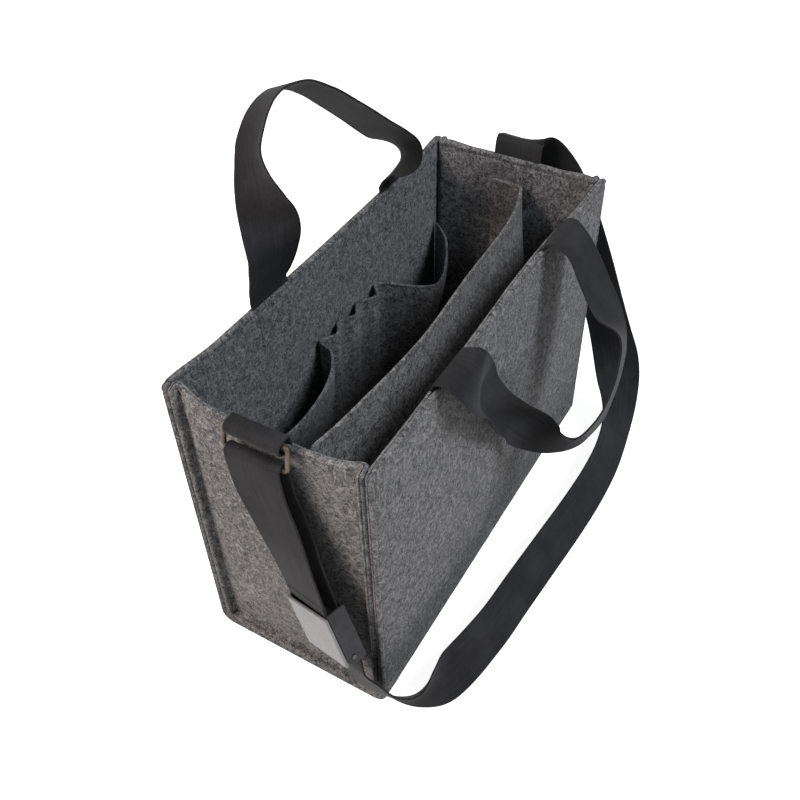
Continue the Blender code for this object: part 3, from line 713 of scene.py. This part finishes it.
def standing_grid(fine, pitch, height, rise_pitch, seam, thickness):
    """Grid of a sheet that stands along a line seen from above, as columns along the line and rows of rise:
    its plan, distance from its ends, rise, share of the thickness, seam's depth and whole run."""
    run = run_along(fine)
    along = marks(run[-1], pitch)
    rise = marks(height, rise_pitch, (height - seam,))[None]
    x, off = [np.interp(along, run, fine[:, k])[:, None] for k in (0, 1)]
    edge = np.minimum(along, run[-1] - along)[:, None]
    share = rounded(edge, thickness / 2) * rounded(np.minimum(rise, height - rise), thickness / 2)
    dents = np.broadcast_to(groove(height - rise - seam), share.shape)
    return x, off, edge, rise, share, dents, run[-1]


def divider(look):
    """The divider, hung between the end panels, bulged and uneven along its free top."""
    height = DIVIDER_TOP - FLOOR_Z
    fine = divider_plan(DIVIDER_POINTS)
    x, y, edge, rise, share, dents, run = standing_grid(
        fine, DIVIDER_PITCH, height, PANEL_PITCH, RIM_SEAM, FELT)
    free = step(0, DIVIDER_FREE, edge)
    u = rise / height
    y = y + free * u**2 * DIVIDER_SWAY * np.sin(x / DIVIDER_SWAY_WAVE)
    y = y - free * DIVIDER_BULGE * np.sin(np.pi * u**1.6) ** 2
    z = FLOOR_Z + rise - free * u**6 * DIVIDER_DIP * (1 + np.sin(x / DIVIDER_DIP_WAVE + 1))
    grid = np.stack(np.broadcast_arrays(x, y, z), axis=-1)
    return thick_sheet("divider_panel", grid, share, DIVIDER_GROOVE * dents, look, seed=9), run


def pocket_plan(count):
    """The pocket's upper edge from above, from wall to wall."""
    fit = DIVIDER_X / POCKET_PLAN[-1][0]
    stations = [(x * fit, off, 0, 0, 0, 1) for x, off in POCKET_PLAN]
    plan = smooth(stations, count)[:, :2]
    plan[:, 1] = np.maximum(plan[:, 1], 0)
    return plan


def organiser_pocket(look):
    """A gathered strip on the back wall, open at the top, drawn in and sewn to the wall at its foot."""
    height = POCKET_TOP - POCKET_BOTTOM
    fine = pocket_plan(POCKET_POINTS)
    x, off, _, rise, share, dents, run = standing_grid(
        fine, POCKET_PITCH, height, STRIP_PITCH, POCKET_SEAM, POCKET_FELT)
    u = rise / height
    pleat = PLEAT * np.sin(x / PLEAT_WAVE) * step(*PLEAT_STANDS, off)
    y = POCKET_WALL_Y - off * np.sin(np.pi / 2 * u) - pleat * np.sin(np.pi * u) * (1 - u)
    z = POCKET_BOTTOM + rise - step(*POCKET_STANDS, off) * POCKET_DIP * u**3
    grid = np.stack(np.broadcast_arrays(x, y, z), axis=-1)
    dents = POCKET_GROOVE * dents
    return thick_sheet("gathered_pocket", grid, share, dents, look, thickness=POCKET_FELT, seed=12), run


def frames_along(line, hinged=()):
    """Place, width and face directions along a ribbon. At hinged points the width stays as given."""
    places = line[:, :3]
    ahead = np.gradient(places, axis=0)
    ahead /= np.linalg.norm(ahead, axis=1)[:, None]
    wide = line[:, 3:] - ahead * np.sum(line[:, 3:] * ahead, axis=1)[:, None]
    for k in hinged:
        wide[k] = line[k, 3:]
    wide /= np.linalg.norm(wide, axis=1)[:, None]
    face = np.cross(ahead, wide)
    face /= np.linalg.norm(face, axis=1)[:, None]
    return places, wide, face


def ribbon(name, line, look, hinged=(), cup=0.0, thick=None):
    """Webbing along a line: slightly crowned, with beaded selvedges, and UVs in metres for its weave."""
    places, wide, face = frames_along(line, hinged)
    run = run_along(places)
    thick = np.ones(len(line)) if thick is None else thick
    cup = np.broadcast_to(cup, len(line))
    half = WIDTH / 2 * (1 - CURVE_SHARE * (cup / WIDTH) ** 2)
    loop = list(WEB_SECTION) + [(w, -t) for w, t in reversed(WEB_SECTION[1:-1])]
    bm = bmesh.new()
    layer = bm.loops.layers.uv.new("weave")
    rings = []
    for k in range(len(line)):
        ring = []
        for w, t in loop:
            bow = cup[k] * (1 - w * w)
            point = places[k] + wide[k] * (w * half[k]) + face[k] * (t * thick[k] * WEBBING / 2 + bow)
            ring.append(bm.verts.new(point * MM))
        rings.append(ring)
    count = len(loop)

    def uv(index, k):
        shift = BACK_FACE_SHIFT if index >= len(WEB_SECTION) else 0.0
        return ((loop[index % count][0] + shift) * WIDTH / 2 * MM, run[k] * MM)

    for k in range(len(line) - 1):
        for i in range(count):
            j = (i + 1) % count
            made = bm.faces.new((rings[k][i], rings[k][j], rings[k + 1][j], rings[k + 1][i]))
            for corner, (a, b) in zip(made.loops, ((i, k), (i + 1, k), (i + 1, k + 1), (i, k + 1))):
                corner[layer].uv = uv(a, b)
    for k, order in ((0, -1), (len(line) - 1, 1)):
        made = bm.faces.new(rings[k][::order])
        for corner in made.loops:
            corner[layer].uv = (0.0, run[k] * MM)
    return add_object(name, bm, look, BAND_SMOOTH_ANGLE)


def buckle_matrix():
    """The buckle's own frame: X across the strap, Y up along it, Z away from the bag."""
    down = BUCKLE_DOWN.normalized()
    across = (BUCKLE_ACROSS - down * BUCKLE_ACROSS.dot(down)).normalized()
    away = down.cross(across)
    turn = Matrix((across, -down, away)).transposed().to_4x4()
    return Matrix.Translation(PIN_AT) @ turn


def in_buckle(y, z):
    """A strap station inside the buckle."""
    frame = buckle_matrix()
    return (*(frame @ Vector((0, y, z))), *frame.col[0].to_3d())


def long_strap(look):
    """The long strap, from inside the buckle round the floor to the right joint."""
    start = in_buckle(BUCKLE_TOP / 2 - STRAP_ROOM, STRAP_Z)
    leaves = in_buckle(BUCKLE_BOTTOM, STRAP_Z)
    end = (RIGHT_JOINT[0] + STRAP_ROOM, 0, RIGHT_JOINT[1], 0, 1, 0)
    line = smooth([start, leaves, *STRAP_ROUTE, end], STRAP_STEPS)
    return ribbon("long_strap", line, look, hinged=(-1,), cup=STRAP_CUP), line, leaves


def strap_loop(look):
    """The doubled webbing from the buckle over the ring's lower bar and back, thicker at its turned end."""
    over = [(x, 0, z, 0, -1, 0) for x, z in arc(LOOP_CENTRE, LOOP_RADIUS, 180, 0, LOOP_BEND_STEPS)]
    outer_end = in_buckle(BUCKLE_TOP + LOOP_ROOM, LOOP_END_Z)
    inner_in = in_buckle(BUCKLE_TOP, STRAP_Z)
    inner_end = in_buckle(BUCKLE_TOP / 2, STRAP_Z)
    line = smooth([outer_end, *reversed(LOOP_OUTER), *over, *LOOP_INNER, inner_in, inner_end], LOOP_STEPS)
    run = run_along(line[:, :3])
    hem = 1 + HEM_EXTRA * (1 - step(*HEM_ENDS, run))
    return ribbon("strap_loop_band", line, look, thick=hem), line, run


def hem_lines(line, run):
    """Thread across the loop's turned end, on both faces."""
    places, wide, face = frames_along(line)
    at = int(np.searchsorted(run, HEM_AT))
    across = [places[at] + wide[at] * w for w in np.linspace(-HEM_HALF, HEM_HALF, THREAD_POINTS)]
    return [[p + face[at] * side * HEM_OUT * WEBBING for p in across] for side in (1, -1)]


def handle_band(name, side, middle, stations, fold, look):
    """A handle's band from hinge to hinge, folded lengthwise over a part of its length."""
    placed = [(-HANDLE_HALF, 0, 0, 1, 0, 0), *stations, (HANDLE_HALF, 0, 0, -1, 0, 0)]
    placed = [(middle + x, side * (SEWN_Y + out), HINGE_Z + rise, *w) for x, out, rise, *w in placed]
    share = np.linspace(0, 1, HANDLE_STEPS + 1)
    depth, begins, ends = fold
    cup = depth * step(*begins, share) * (1 - step(*ends, share))
    return ribbon(name, smooth(placed, HANDLE_STEPS), look, hinged=(0, -1), cup=cup)


def sewn_end(name, side, x, neck_in, look):
    """A handle's sewn end, from between the felt layers up to the hinge line."""
    between = sag([(x, side * (SEWN_Y - SEWN_IN), z) for z in SEWN_HEIGHTS])
    stations = [(*p, 1, 0, 0) for p in between]
    stations.append((x, side * (SEWN_Y - neck_in), HINGE_Z - SEWN_NECK, 1, 0, 0))
    stations.append((x, side * SEWN_Y, HINGE_Z, 1, 0, 0))
    return ribbon(name, smooth(stations, SEWN_STEPS), look)


def cross_band(name, profile, count, look):
    """Webbing whose width lies along Y, through (x, z) points."""
    return ribbon(name, smooth([(x, 0, z, 0, 1, 0) for x, z in profile], count), look)


def ring(look):
    """The strap's ring: one round wire bent into a rectangle with close corners."""
    down = RING_LOW - RING_HIGH
    high = down.length
    slope = down / high
    flat = []
    for cy, cz, start in ((1, 0, 0), (-1, 0, 90), (-1, -high, 180), (1, -high, 270)):
        centre = (cy * (RING_HALF - RING_CORNER), cz + (RING_CORNER if cz else -RING_CORNER))
        flat += arc(centre, RING_CORNER, start, start + 90, RING_CORNER_STEPS)
    path = np.array([RING_HIGH - slope * z + Vector((0, y, 0)) for y, z in flat])
    path = np.concatenate((path, path[:1]))
    fine = []
    for a, b in zip(path, path[1:]):
        parts = max(1, round(np.linalg.norm(b - a) / RING_PITCH))
        fine += [a + (b - a) * k / parts for k in range(parts)]
    fine = np.array(fine)
    ahead = np.roll(fine, -1, axis=0) - np.roll(fine, 1, axis=0)
    ahead /= np.linalg.norm(ahead, axis=1)[:, None]
    flat_way = np.array(Vector((0, 1, 0)).cross(slope))
    out = np.cross(ahead, flat_way)
    bm = bmesh.new()
    rings = []
    for k in range(len(fine)):
        wire = []
        for s in range(RING_SIDES):
            a = 2 * math.pi * s / RING_SIDES
            point = fine[k] + (out[k] * math.cos(a) + flat_way * math.sin(a)) * RING_WIRE / 2
            wire.append(bm.verts.new(point * MM))
        rings.append(wire)
    skin(bm, rings + rings[:1])
    return add_object("ring_wire", bm, look)


def stitches(name, lines, look):
    """Sewing thread: a row of short stitches along each line of points, half sunk in what it sews."""
    bm = bmesh.new()
    for points in lines:
        points = np.array(points, float)
        run = run_along(points)
        count = int(run[-1] // STITCH_PITCH)
        for k in range(count):
            start = (k + 0.5) * run[-1] / count - STITCH / 2
            along = [start + STITCH * share for share, _ in STITCH_SHAPE]
            line = np.stack([np.interp(along, run, points[:, i]) for i in range(3)], axis=1)
            ahead = Vector(line[-1] - line[0]).normalized()
            side = ahead.orthogonal().normalized()
            other = ahead.cross(side)
            rings = []
            for point, (_, girth) in zip(line, STITCH_SHAPE):
                ring_verts = []
                for q in range(THREAD_SIDES):
                    a = 2 * math.pi * q / THREAD_SIDES
                    offset = (side * math.cos(a) + other * math.sin(a)) * THREAD * girth
                    ring_verts.append(bm.verts.new((Vector(point) + offset) * MM))
                rings.append(ring_verts)
            skin(bm, rings)
            bm.faces.new(rings[0][::-1])
            bm.faces.new(rings[-1])
    return add_object(name, bm, look)


def box_cross(to_place):
    """A box of stitching with a cross in it, as lines of placed points."""
    low, high = BOX_HEIGHTS
    a, b, c, d = (-BOX_HALF, low), (BOX_HALF, low), (BOX_HALF, high), (-BOX_HALF, high)
    lines = []
    for first, last in ((a, b), (b, c), (c, d), (d, a), (a, c), (b, d)):
        lines.append(sag([to_place(*p) for p in np.linspace(first, last, THREAD_POINTS)]))
    return lines


def line_at(x, y, z):
    """Points of a line, of which some coordinates stay the same."""
    return np.stack(np.broadcast_arrays(x, y, z), axis=1)


def sewing_lines():
    """Every visible line of thread on the felt."""
    lines = []
    x = np.linspace(-HALF_LENGTH + RIM_THREAD_IN, HALF_LENGTH - RIM_THREAD_IN, RIM_POINTS)
    z = HEIGHT - RIM_SEAM
    outer_y = HALF_WIDTH - SEAM_DEPTH
    inner_y = HALF_WIDTH - INNER_INSET - FELT / 2 + SEAM_DEPTH
    for side in (-1, 1):
        for y, outward in ((outer_y, True), (inner_y, False)):
            line = line_at(x, side * y, z)
            line[:, 1] += part_layers(line, outward)
            lines.append(sag(line))
    y = np.linspace(-HALF_WIDTH + END_THREAD_IN, HALF_WIDTH - END_THREAD_IN, END_POINTS)
    outer_x = BEND_X - OUTER_BEND + FELT / 2 - SEAM_DEPTH
    inner_x = BEND_X - INNER_BEND - FELT / 2 + SEAM_DEPTH
    for side in (-1, 1):
        for at in (outer_x, inner_x):
            lines.append(sag(line_at(side * at, y, z)))
    run = np.linspace(RIDGE_THREAD_IN, u_length(0.0) - RIDGE_THREAD_IN, RIDGE_POINTS)
    path = u_points(SEAM_DEPTH, run)
    for side in (-1, 1):
        lines.append(sag(line_at(side * (HALF_LENGTH - RIDGE_SEAM), path[:, 0], path[:, 1])))
    for side, middle in ((-1, FRONT_MIDDLE), (1, BACK_MIDDLE)):
        wall = side * (HALF_WIDTH - INNER_INSET - FELT / 2 - THREAD_PROUD)
        for end in (-1, 1):
            at = middle + end * HANDLE_HALF
            lines += box_cross(lambda u, v, a=at, w=wall: (a + u, w, v))
    for side in (-1, 1):
        wall = side * (BEND_X - INNER_BEND - FELT / 2 - THREAD_PROUD)
        lines += box_cross(lambda u, v, w=wall: (w, u, v))
    return lines


class Nodes:
    """A short way to write a material's node tree."""

    def __init__(self, name):
        self.material = bpy.data.materials.new(name)
        self.material.use_nodes = True
        self.tree = self.material.node_tree
        self.shader = self.tree.nodes["Principled BSDF"]

    def add(self, kind, **values):
        node = self.tree.nodes.new(kind)
        for key, value in values.items():
            if hasattr(node, key):
                setattr(node, key, value)
            else:
                node.inputs[key.replace("_", " ")].default_value = value
        return node

    def link(self, source, target):
        self.tree.links.new(source, target)

    def coordinates(self, kind="Object", scale=(1, 1, 1)):
        place = self.add("ShaderNodeTexCoord")
        mapping = self.add("ShaderNodeMapping")
        mapping.inputs["Scale"].default_value = scale
        self.link(place.outputs[kind], mapping.inputs["Vector"])
        return mapping.outputs["Vector"]

    def noise(self, vector, scale, detail=3.0, roughness=0.55, distortion=0.0):
        node = self.add("ShaderNodeTexNoise", Scale=scale, Detail=detail, Roughness=roughness)
        node.inputs["Distortion"].default_value = distortion
        self.link(vector, node.inputs["Vector"])
        return node.outputs["Fac"]

    def ramp(self, value, stops):
        node = self.add("ShaderNodeValToRGB")
        ends = node.color_ramp.elements
        while len(ends) < len(stops):
            ends.new(0.5)
        for end, (place, colour) in zip(ends, stops):
            end.position = place
            end.color = (*colour, 1.0) if hasattr(colour, "__len__") else (colour, colour, colour, 1.0)
        self.link(value, node.inputs["Fac"])
        return node.outputs["Color"]

    def mix(self, share, a, b):
        node = self.add("ShaderNodeMix", data_type="RGBA")
        for socket, value in ((node.inputs["Factor"], share), (node.inputs["A"], a), (node.inputs["B"], b)):
            self.put(socket, value)
        return node.outputs["Result"]

    def put(self, socket, value):
        if isinstance(value, bpy.types.NodeSocket):
            self.link(value, socket)
        else:
            socket.default_value = value

    def maths(self, operation, a, b=0.5):
        node = self.add("ShaderNodeMath", operation=operation)
        self.put(node.inputs[0], a)
        self.put(node.inputs[1], b)
        return node.outputs["Value"]

    def wave(self, value, pitch):
        return self.maths("SINE", self.maths("MULTIPLY", value, 2 * math.pi / pitch))

    def bump(self, height, strength, distance, after=None):
        node = self.add("ShaderNodeBump", Strength=strength, Distance=distance)
        self.link(height, node.inputs["Height"])
        if after is not None:
            self.link(after, node.inputs["Normal"])
        return node.outputs["Normal"]

    def set(self, **values):
        for key, value in values.items():
            self.put(self.shader.inputs[key.replace("_", " ")], value)


def shade(colour, amount):
    """A colour made lighter or darker, with its alpha."""
    return (*(min(1.0, c * amount) for c in colour), 1.0)


def felt_material(name, dark, light, tint):
    """Needled felt: tangled pale and dark fibres over a mottled grey, a soft nap and no shine."""
    n = Nodes(name)
    even = n.coordinates()
    cloud = n.noise(even, 36.0, 4.0, 0.6)
    mottle = n.noise(even, 165.0, 3.5, 0.65)
    speck = n.noise(even, 520.0, 2.0, 0.6)
    base = n.mix(n.ramp(mottle, ((0.40, 0.0), (0.60, 1.0))), (*dark, 1), (*light, 1))
    base = n.mix(n.ramp(cloud, ((0.34, 0.0), (0.66, 0.4))), base, (*tint, 1))
    pale, deep = shade(light, 2.3), shade(dark, 0.30)
    strands = []
    for scale, stretch, is_pale, share in STRANDS:
        line = n.noise(n.coordinates(scale=stretch), scale, 1.0, 0.5, 1.8)
        strand = n.ramp(line, ((0.455, 0.0), (0.50, share), (0.545, 0.0)))
        base = n.mix(strand, base, pale if is_pale else deep)
        strands.append(strand)
    tangle = n.maths("ADD", strands[0], n.maths("SUBTRACT", strands[2], strands[1]))
    base = n.mix(n.ramp(speck, ((0.54, 0.0), (0.70, 0.45))), base, pale)
    first = n.bump(mottle, 0.60, 0.0016)
    n.set(Base_Color=base, Roughness=0.95, Normal=n.bump(tangle, 0.55, 0.0010, first))
    n.set(Sheen_Weight=0.12, Sheen_Roughness=0.6, Specular_IOR_Level=0.04)
    return n.material


def webbing_material(name, dark, light):
    """Close woven webbing: fine ribs across, a diagonal twill over them, worn stripes, a dull sheen."""
    n = Nodes(name)
    place = n.add("ShaderNodeUVMap", uv_map="weave")
    split = n.add("ShaderNodeSeparateXYZ")
    n.link(place.outputs["UV"], split.inputs["Vector"])
    across, along = split.outputs["X"], split.outputs["Y"]
    rib = n.wave(along, RIB_PITCH)
    yarn = n.wave(across, YARN_PITCH)
    twill = n.wave(n.maths("ADD", along, across), TWILL_PITCH)
    crossing = n.maths("MULTIPLY", yarn, twill)
    weave = n.maths("ADD", n.maths("MULTIPLY", rib, 0.35), n.maths("MULTIPLY", crossing, 0.4))
    # Halved, plus the half that the node's third input holds
    weave = n.maths("MULTIPLY_ADD", weave, 0.5)
    even = n.coordinates()
    fuzz = n.noise(even, 700.0, 3.0, 0.6)
    worn = n.noise(even, 28.0, 3.0, 0.5)
    stripe = n.noise(n.coordinates("UV", (900.0, 14.0, 1.0)), 1.0, 2.0, 0.5)
    base = n.mix(n.ramp(weave, ((0.25, 0.35), (0.75, 0.65))), (*dark, 1), (*light, 1))
    base = n.mix(n.ramp(fuzz, ((0.52, 0.0), (0.72, 0.35))), base, shade(light, 1.6))
    base = n.mix(n.ramp(worn, ((0.40, 0.0), (0.64, 0.55))), base, shade(light, 1.7))
    base = n.mix(n.ramp(stripe, ((0.32, 0.40), (0.50, 0.0))), base, shade(dark, 0.7))
    first = n.bump(weave, 0.22, 0.0003)
    n.set(Base_Color=base, Normal=n.bump(fuzz, 0.18, 0.0004, first))
    n.set(Roughness=n.ramp(worn, ((0.2, 0.62), (0.8, 0.76))), Sheen_Weight=0.04, Sheen_Roughness=0.4)
    n.set(Specular_IOR_Level=0.06)
    return n.material


def metal_material(name, dark, light, metallic, rough):
    """Worn metal: faint drawn lines, cloudy tarnish and small scuffs."""
    n = Nodes(name)
    even = n.coordinates()
    cloud = n.noise(even, 90.0, 4.0, 0.6)
    drawn = n.noise(n.coordinates(scale=(1.0, 0.12, 1.0)), 900.0, 2.0, 0.5)
    scuff = n.noise(even, 600.0, 5.0, 0.7)
    base = n.mix(n.ramp(cloud, ((0.3, 0.0), (0.7, 1.0))), (*dark, 1), (*light, 1))
    base = n.mix(n.ramp(scuff, ((0.62, 0.0), (0.75, 0.4))), base, shade(light, 1.4))
    n.set(Base_Color=base, Metallic=metallic, Specular_IOR_Level=0.2)
    n.set(Roughness=n.ramp(scuff, ((0.3, rough * 0.85), (0.7, rough * 1.25))))
    n.set(Normal=n.bump(drawn, 0.10, 0.0003, n.bump(scuff, 0.05, 0.0003)))
    return n.material


def thread_material():
    """Dark twisted sewing thread."""
    n = Nodes("sewing_thread")
    dark, light = THREAD_COLOURS
    twist = n.noise(n.coordinates(), 1400.0, 2.0, 0.6)
    n.set(Base_Color=n.ramp(twist, ((0.3, dark), (0.7, light))))
    n.set(Roughness=0.75, Sheen_Weight=0.1, Normal=n.bump(twist, 0.3, 0.0003))
    return n.material


def seen_apart(tree, plain, seen, surface):
    """Gives the rays that see the background one shader, and all other light the plain one. The first are the
    camera's rays and those off gloss or through glass."""
    path = tree.nodes.new("ShaderNodeLightPath")
    share = path.outputs["Is Camera Ray"]
    for kind in ("Is Glossy Ray", "Is Transmission Ray"):
        either = tree.nodes.new("ShaderNodeMath")
        either.operation = "MAXIMUM"
        tree.links.new(share, either.inputs[0])
        tree.links.new(path.outputs[kind], either.inputs[1])
        share = either.outputs["Value"]
    choose = tree.nodes.new("ShaderNodeMixShader")
    tree.links.new(share, choose.inputs["Fac"])
    tree.links.new(plain, choose.inputs[1])
    tree.links.new(seen, choose.inputs[2])
    tree.links.new(choose.outputs["Shader"], surface)


def floor_material():
    """A pale floor that is white to the camera where it is lit, and keeps a soft shadow."""
    n = Nodes("pale_floor")
    grain = n.noise(n.coordinates(), 6.0, 2.0, 0.5)
    n.set(Base_Color=n.ramp(grain, ((0.3, 0.90), (0.7, 0.92))), Roughness=0.9, Specular_IOR_Level=0.0)
    glow = n.add("ShaderNodeEmission", Strength=FLOOR_GLOW)
    both = n.add("ShaderNodeAddShader")
    plain = n.shader.outputs["BSDF"]
    n.link(plain, both.inputs[0])
    n.link(glow.outputs["Emission"], both.inputs[1])
    seen_apart(n.tree, plain, both.outputs["Shader"], n.tree.nodes["Material Output"].inputs["Surface"])
    return n.material


def camera():
    """The photograph's camera, placed by azimuth, elevation and roll."""
    data = bpy.data.cameras.new("camera")
    data.lens = CAMERA_LENS
    data.sensor_width = SENSOR
    data.sensor_fit = "HORIZONTAL"
    data.clip_start = 0.01
    made = link_object("camera", data)
    turn = Euler((math.radians(90 - CAMERA_ELEVATION), 0, math.radians(CAMERA_AZIMUTH))).to_matrix()
    turn = turn @ Matrix.Rotation(math.radians(CAMERA_ROLL), 3, "Z")
    made.matrix_world = Matrix.Translation(CAMERA_AT) @ turn.to_4x4()
    bpy.context.scene.camera = made


def area_light(name, spot, target, size, power, colour):
    """A square lamp turned towards a target."""
    data = bpy.data.lights.new(name, "AREA")
    data.size = size
    data.energy = power
    data.color = colour
    made = link_object(name, data)
    made.location = spot
    made.rotation_euler = (Vector(target) - Vector(spot)).to_track_quat("-Z", "Y").to_euler()


def studio():
    """Two lamps, a dim world that is white where it is seen, and the floor."""
    scene = bpy.context.scene
    scene.view_settings.view_transform = "Standard"
    world = bpy.data.worlds.new("studio")
    scene.world = world
    world.use_nodes = True
    tree = world.node_tree
    tree.nodes.clear()
    soft = tree.nodes.new("ShaderNodeBackground")
    white = tree.nodes.new("ShaderNodeBackground")
    out = tree.nodes.new("ShaderNodeOutputWorld")
    soft.inputs["Color"].default_value = AMBIENT_COLOUR
    soft.inputs["Strength"].default_value = AMBIENT
    white.inputs["Color"].default_value = (1, 1, 1, 1)
    white.inputs["Strength"].default_value = 1.0
    seen_apart(tree, soft.outputs["Background"], white.outputs["Background"], out.inputs["Surface"])
    for name, lamp in LAMPS.items():
        area_light(name, *lamp)
    bm = bmesh.new()
    bmesh.ops.create_circle(bm, cap_ends=True, segments=FLOOR_SEGMENTS, radius=FLOOR_RADIUS)
    floor = add_object("floor", bm, floor_material())
    floor.location.z = FLOOR_Z_OFFSET


def place(piece, body, slot, *nodes):
    """Rides a piece on its body and hides the nodes it stands for. slot is not used."""
    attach(piece, body)
    if nodes:
        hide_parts(*nodes)
    return piece


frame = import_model()
camera()

webbing = webbing_material("charcoal_webbing", *WEBBING_COLOURS)
outer_felt = felt_material("outer_felt", *OUTER_FELT_COLOURS)
# Felt for the lining and the pocket, made darker as painted shade for the inside of the bag
inner_felt_painted_shade = felt_material("inner_felt_painted_shade", *SHADED_INNER_FELT_COLOURS)
thread = thread_material()

# Long strap
strap, strap_line, strap_exit = long_strap(webbing)
place(strap, "shoulder_strap", "webbing", "strap_drop", "strap_floor_run", "strap_rise")

# Felt shell
place(body_strip("outer_shell", OUTER_INSET, True, outer_felt, 1), "bag", "felt_outer", "body_outer_strip")
place(body_strip("inner_lining", INNER_INSET, False, inner_felt_painted_shade, 2), "bag", "felt_inner", "body_inner_strip")
for label, side in (("left", -1), ("right", 1)):
    place(end_tray(f"{label}_panel_outer", side, TRAY_OUTER_INSET, OUTER_BEND, outer_felt, 4 + side, side),
          "bag", "felt_outer", f"{label}_end_outer")
    place(end_tray(f"{label}_panel_inner", side, TRAY_INNER_INSET, INNER_BEND, inner_felt_painted_shade, 7 + side, -side),
          "bag", "felt_inner", f"{label}_end_inner")

# Divider and pocket
divider_piece, divider_run = divider(outer_felt)
place(divider_piece, "bag", "felt_inner", "divider")
pocket_piece, pocket_run = organiser_pocket(inner_felt_painted_shade)
place(pocket_piece, "bag", "felt_inner", "organiser_pocket")

# Handles
for label, side, middle, stations, fold, neck_in in (
    ("front_handle", -1, FRONT_MIDDLE, FRONT_HANDLE, FRONT_FOLD, FRONT_NECK_IN),
    ("back_handle", 1, BACK_MIDDLE, BACK_HANDLE, BACK_FOLD, BACK_NECK_IN),
):
    band = handle_band(f"{label}_band", side, middle, stations, fold, webbing)
    place(band, label, "webbing", f"{label}_loop")
    for end, word in ((-1, "left"), (1, "right")):
        sewn = sewn_end(f"{label}_{word}_sewn", side, middle + end * HANDLE_HALF, neck_in, webbing)
        place(sewn, "bag", "webbing", f"{label}_{word}_end")

# Webbing at the end panels
tab_profile = [(-SEWN_X - out, z) for out, z in TAB_PROFILE]
tab_profile.append((LEFT_JOINT[0] + JOINT_ROOM, LEFT_JOINT[1]))
place(cross_band("tab_band", tab_profile, TAB_STEPS, webbing), "bag", "webbing", "left_strap_tab")
roll_profile = [(LEFT_JOINT[0] - JOINT_ROOM, LEFT_JOINT[1])]
roll_profile += arc(ROLL_CENTRE, ROLL_RADIUS, 90, 90 + ROLL_DEGREES, ROLL_STEPS)
place(cross_band("tab_roll_band", roll_profile, TAB_STEPS, webbing), "shoulder_strap", "webbing", "tab_roll")
stub_profile = [(SEWN_X + out, z) for out, z in STUB_PROFILE]
stub_profile.append((RIGHT_JOINT[0] - JOINT_ROOM, RIGHT_JOINT[1]))
place(cross_band("far_end_band", stub_profile, STUB_STEPS, webbing), "bag", "webbing", "right_strap_end")

# Strap loop and sewing thread
loop_piece, loop_line, loop_run = strap_loop(webbing)
place(loop_piece, "shoulder_strap", "webbing", "strap_loop")
place(stitches("hem_stitching", hem_lines(loop_line, loop_run), thread), "shoulder_strap", "webbing")
place(stitches("felt_stitching", sewing_lines(), thread), "bag", "felt_outer")

# Ring and buckle
place(ring(metal_material(*RING_METAL)), "shoulder_strap", "ring_metal", "strap_ring")
for node, metal in BUCKLE_METALS.items():
    slots = frame["nodes"][node].data.materials
    slots.clear()
    slots.append(metal_material(*metal))

# Studio
studio()
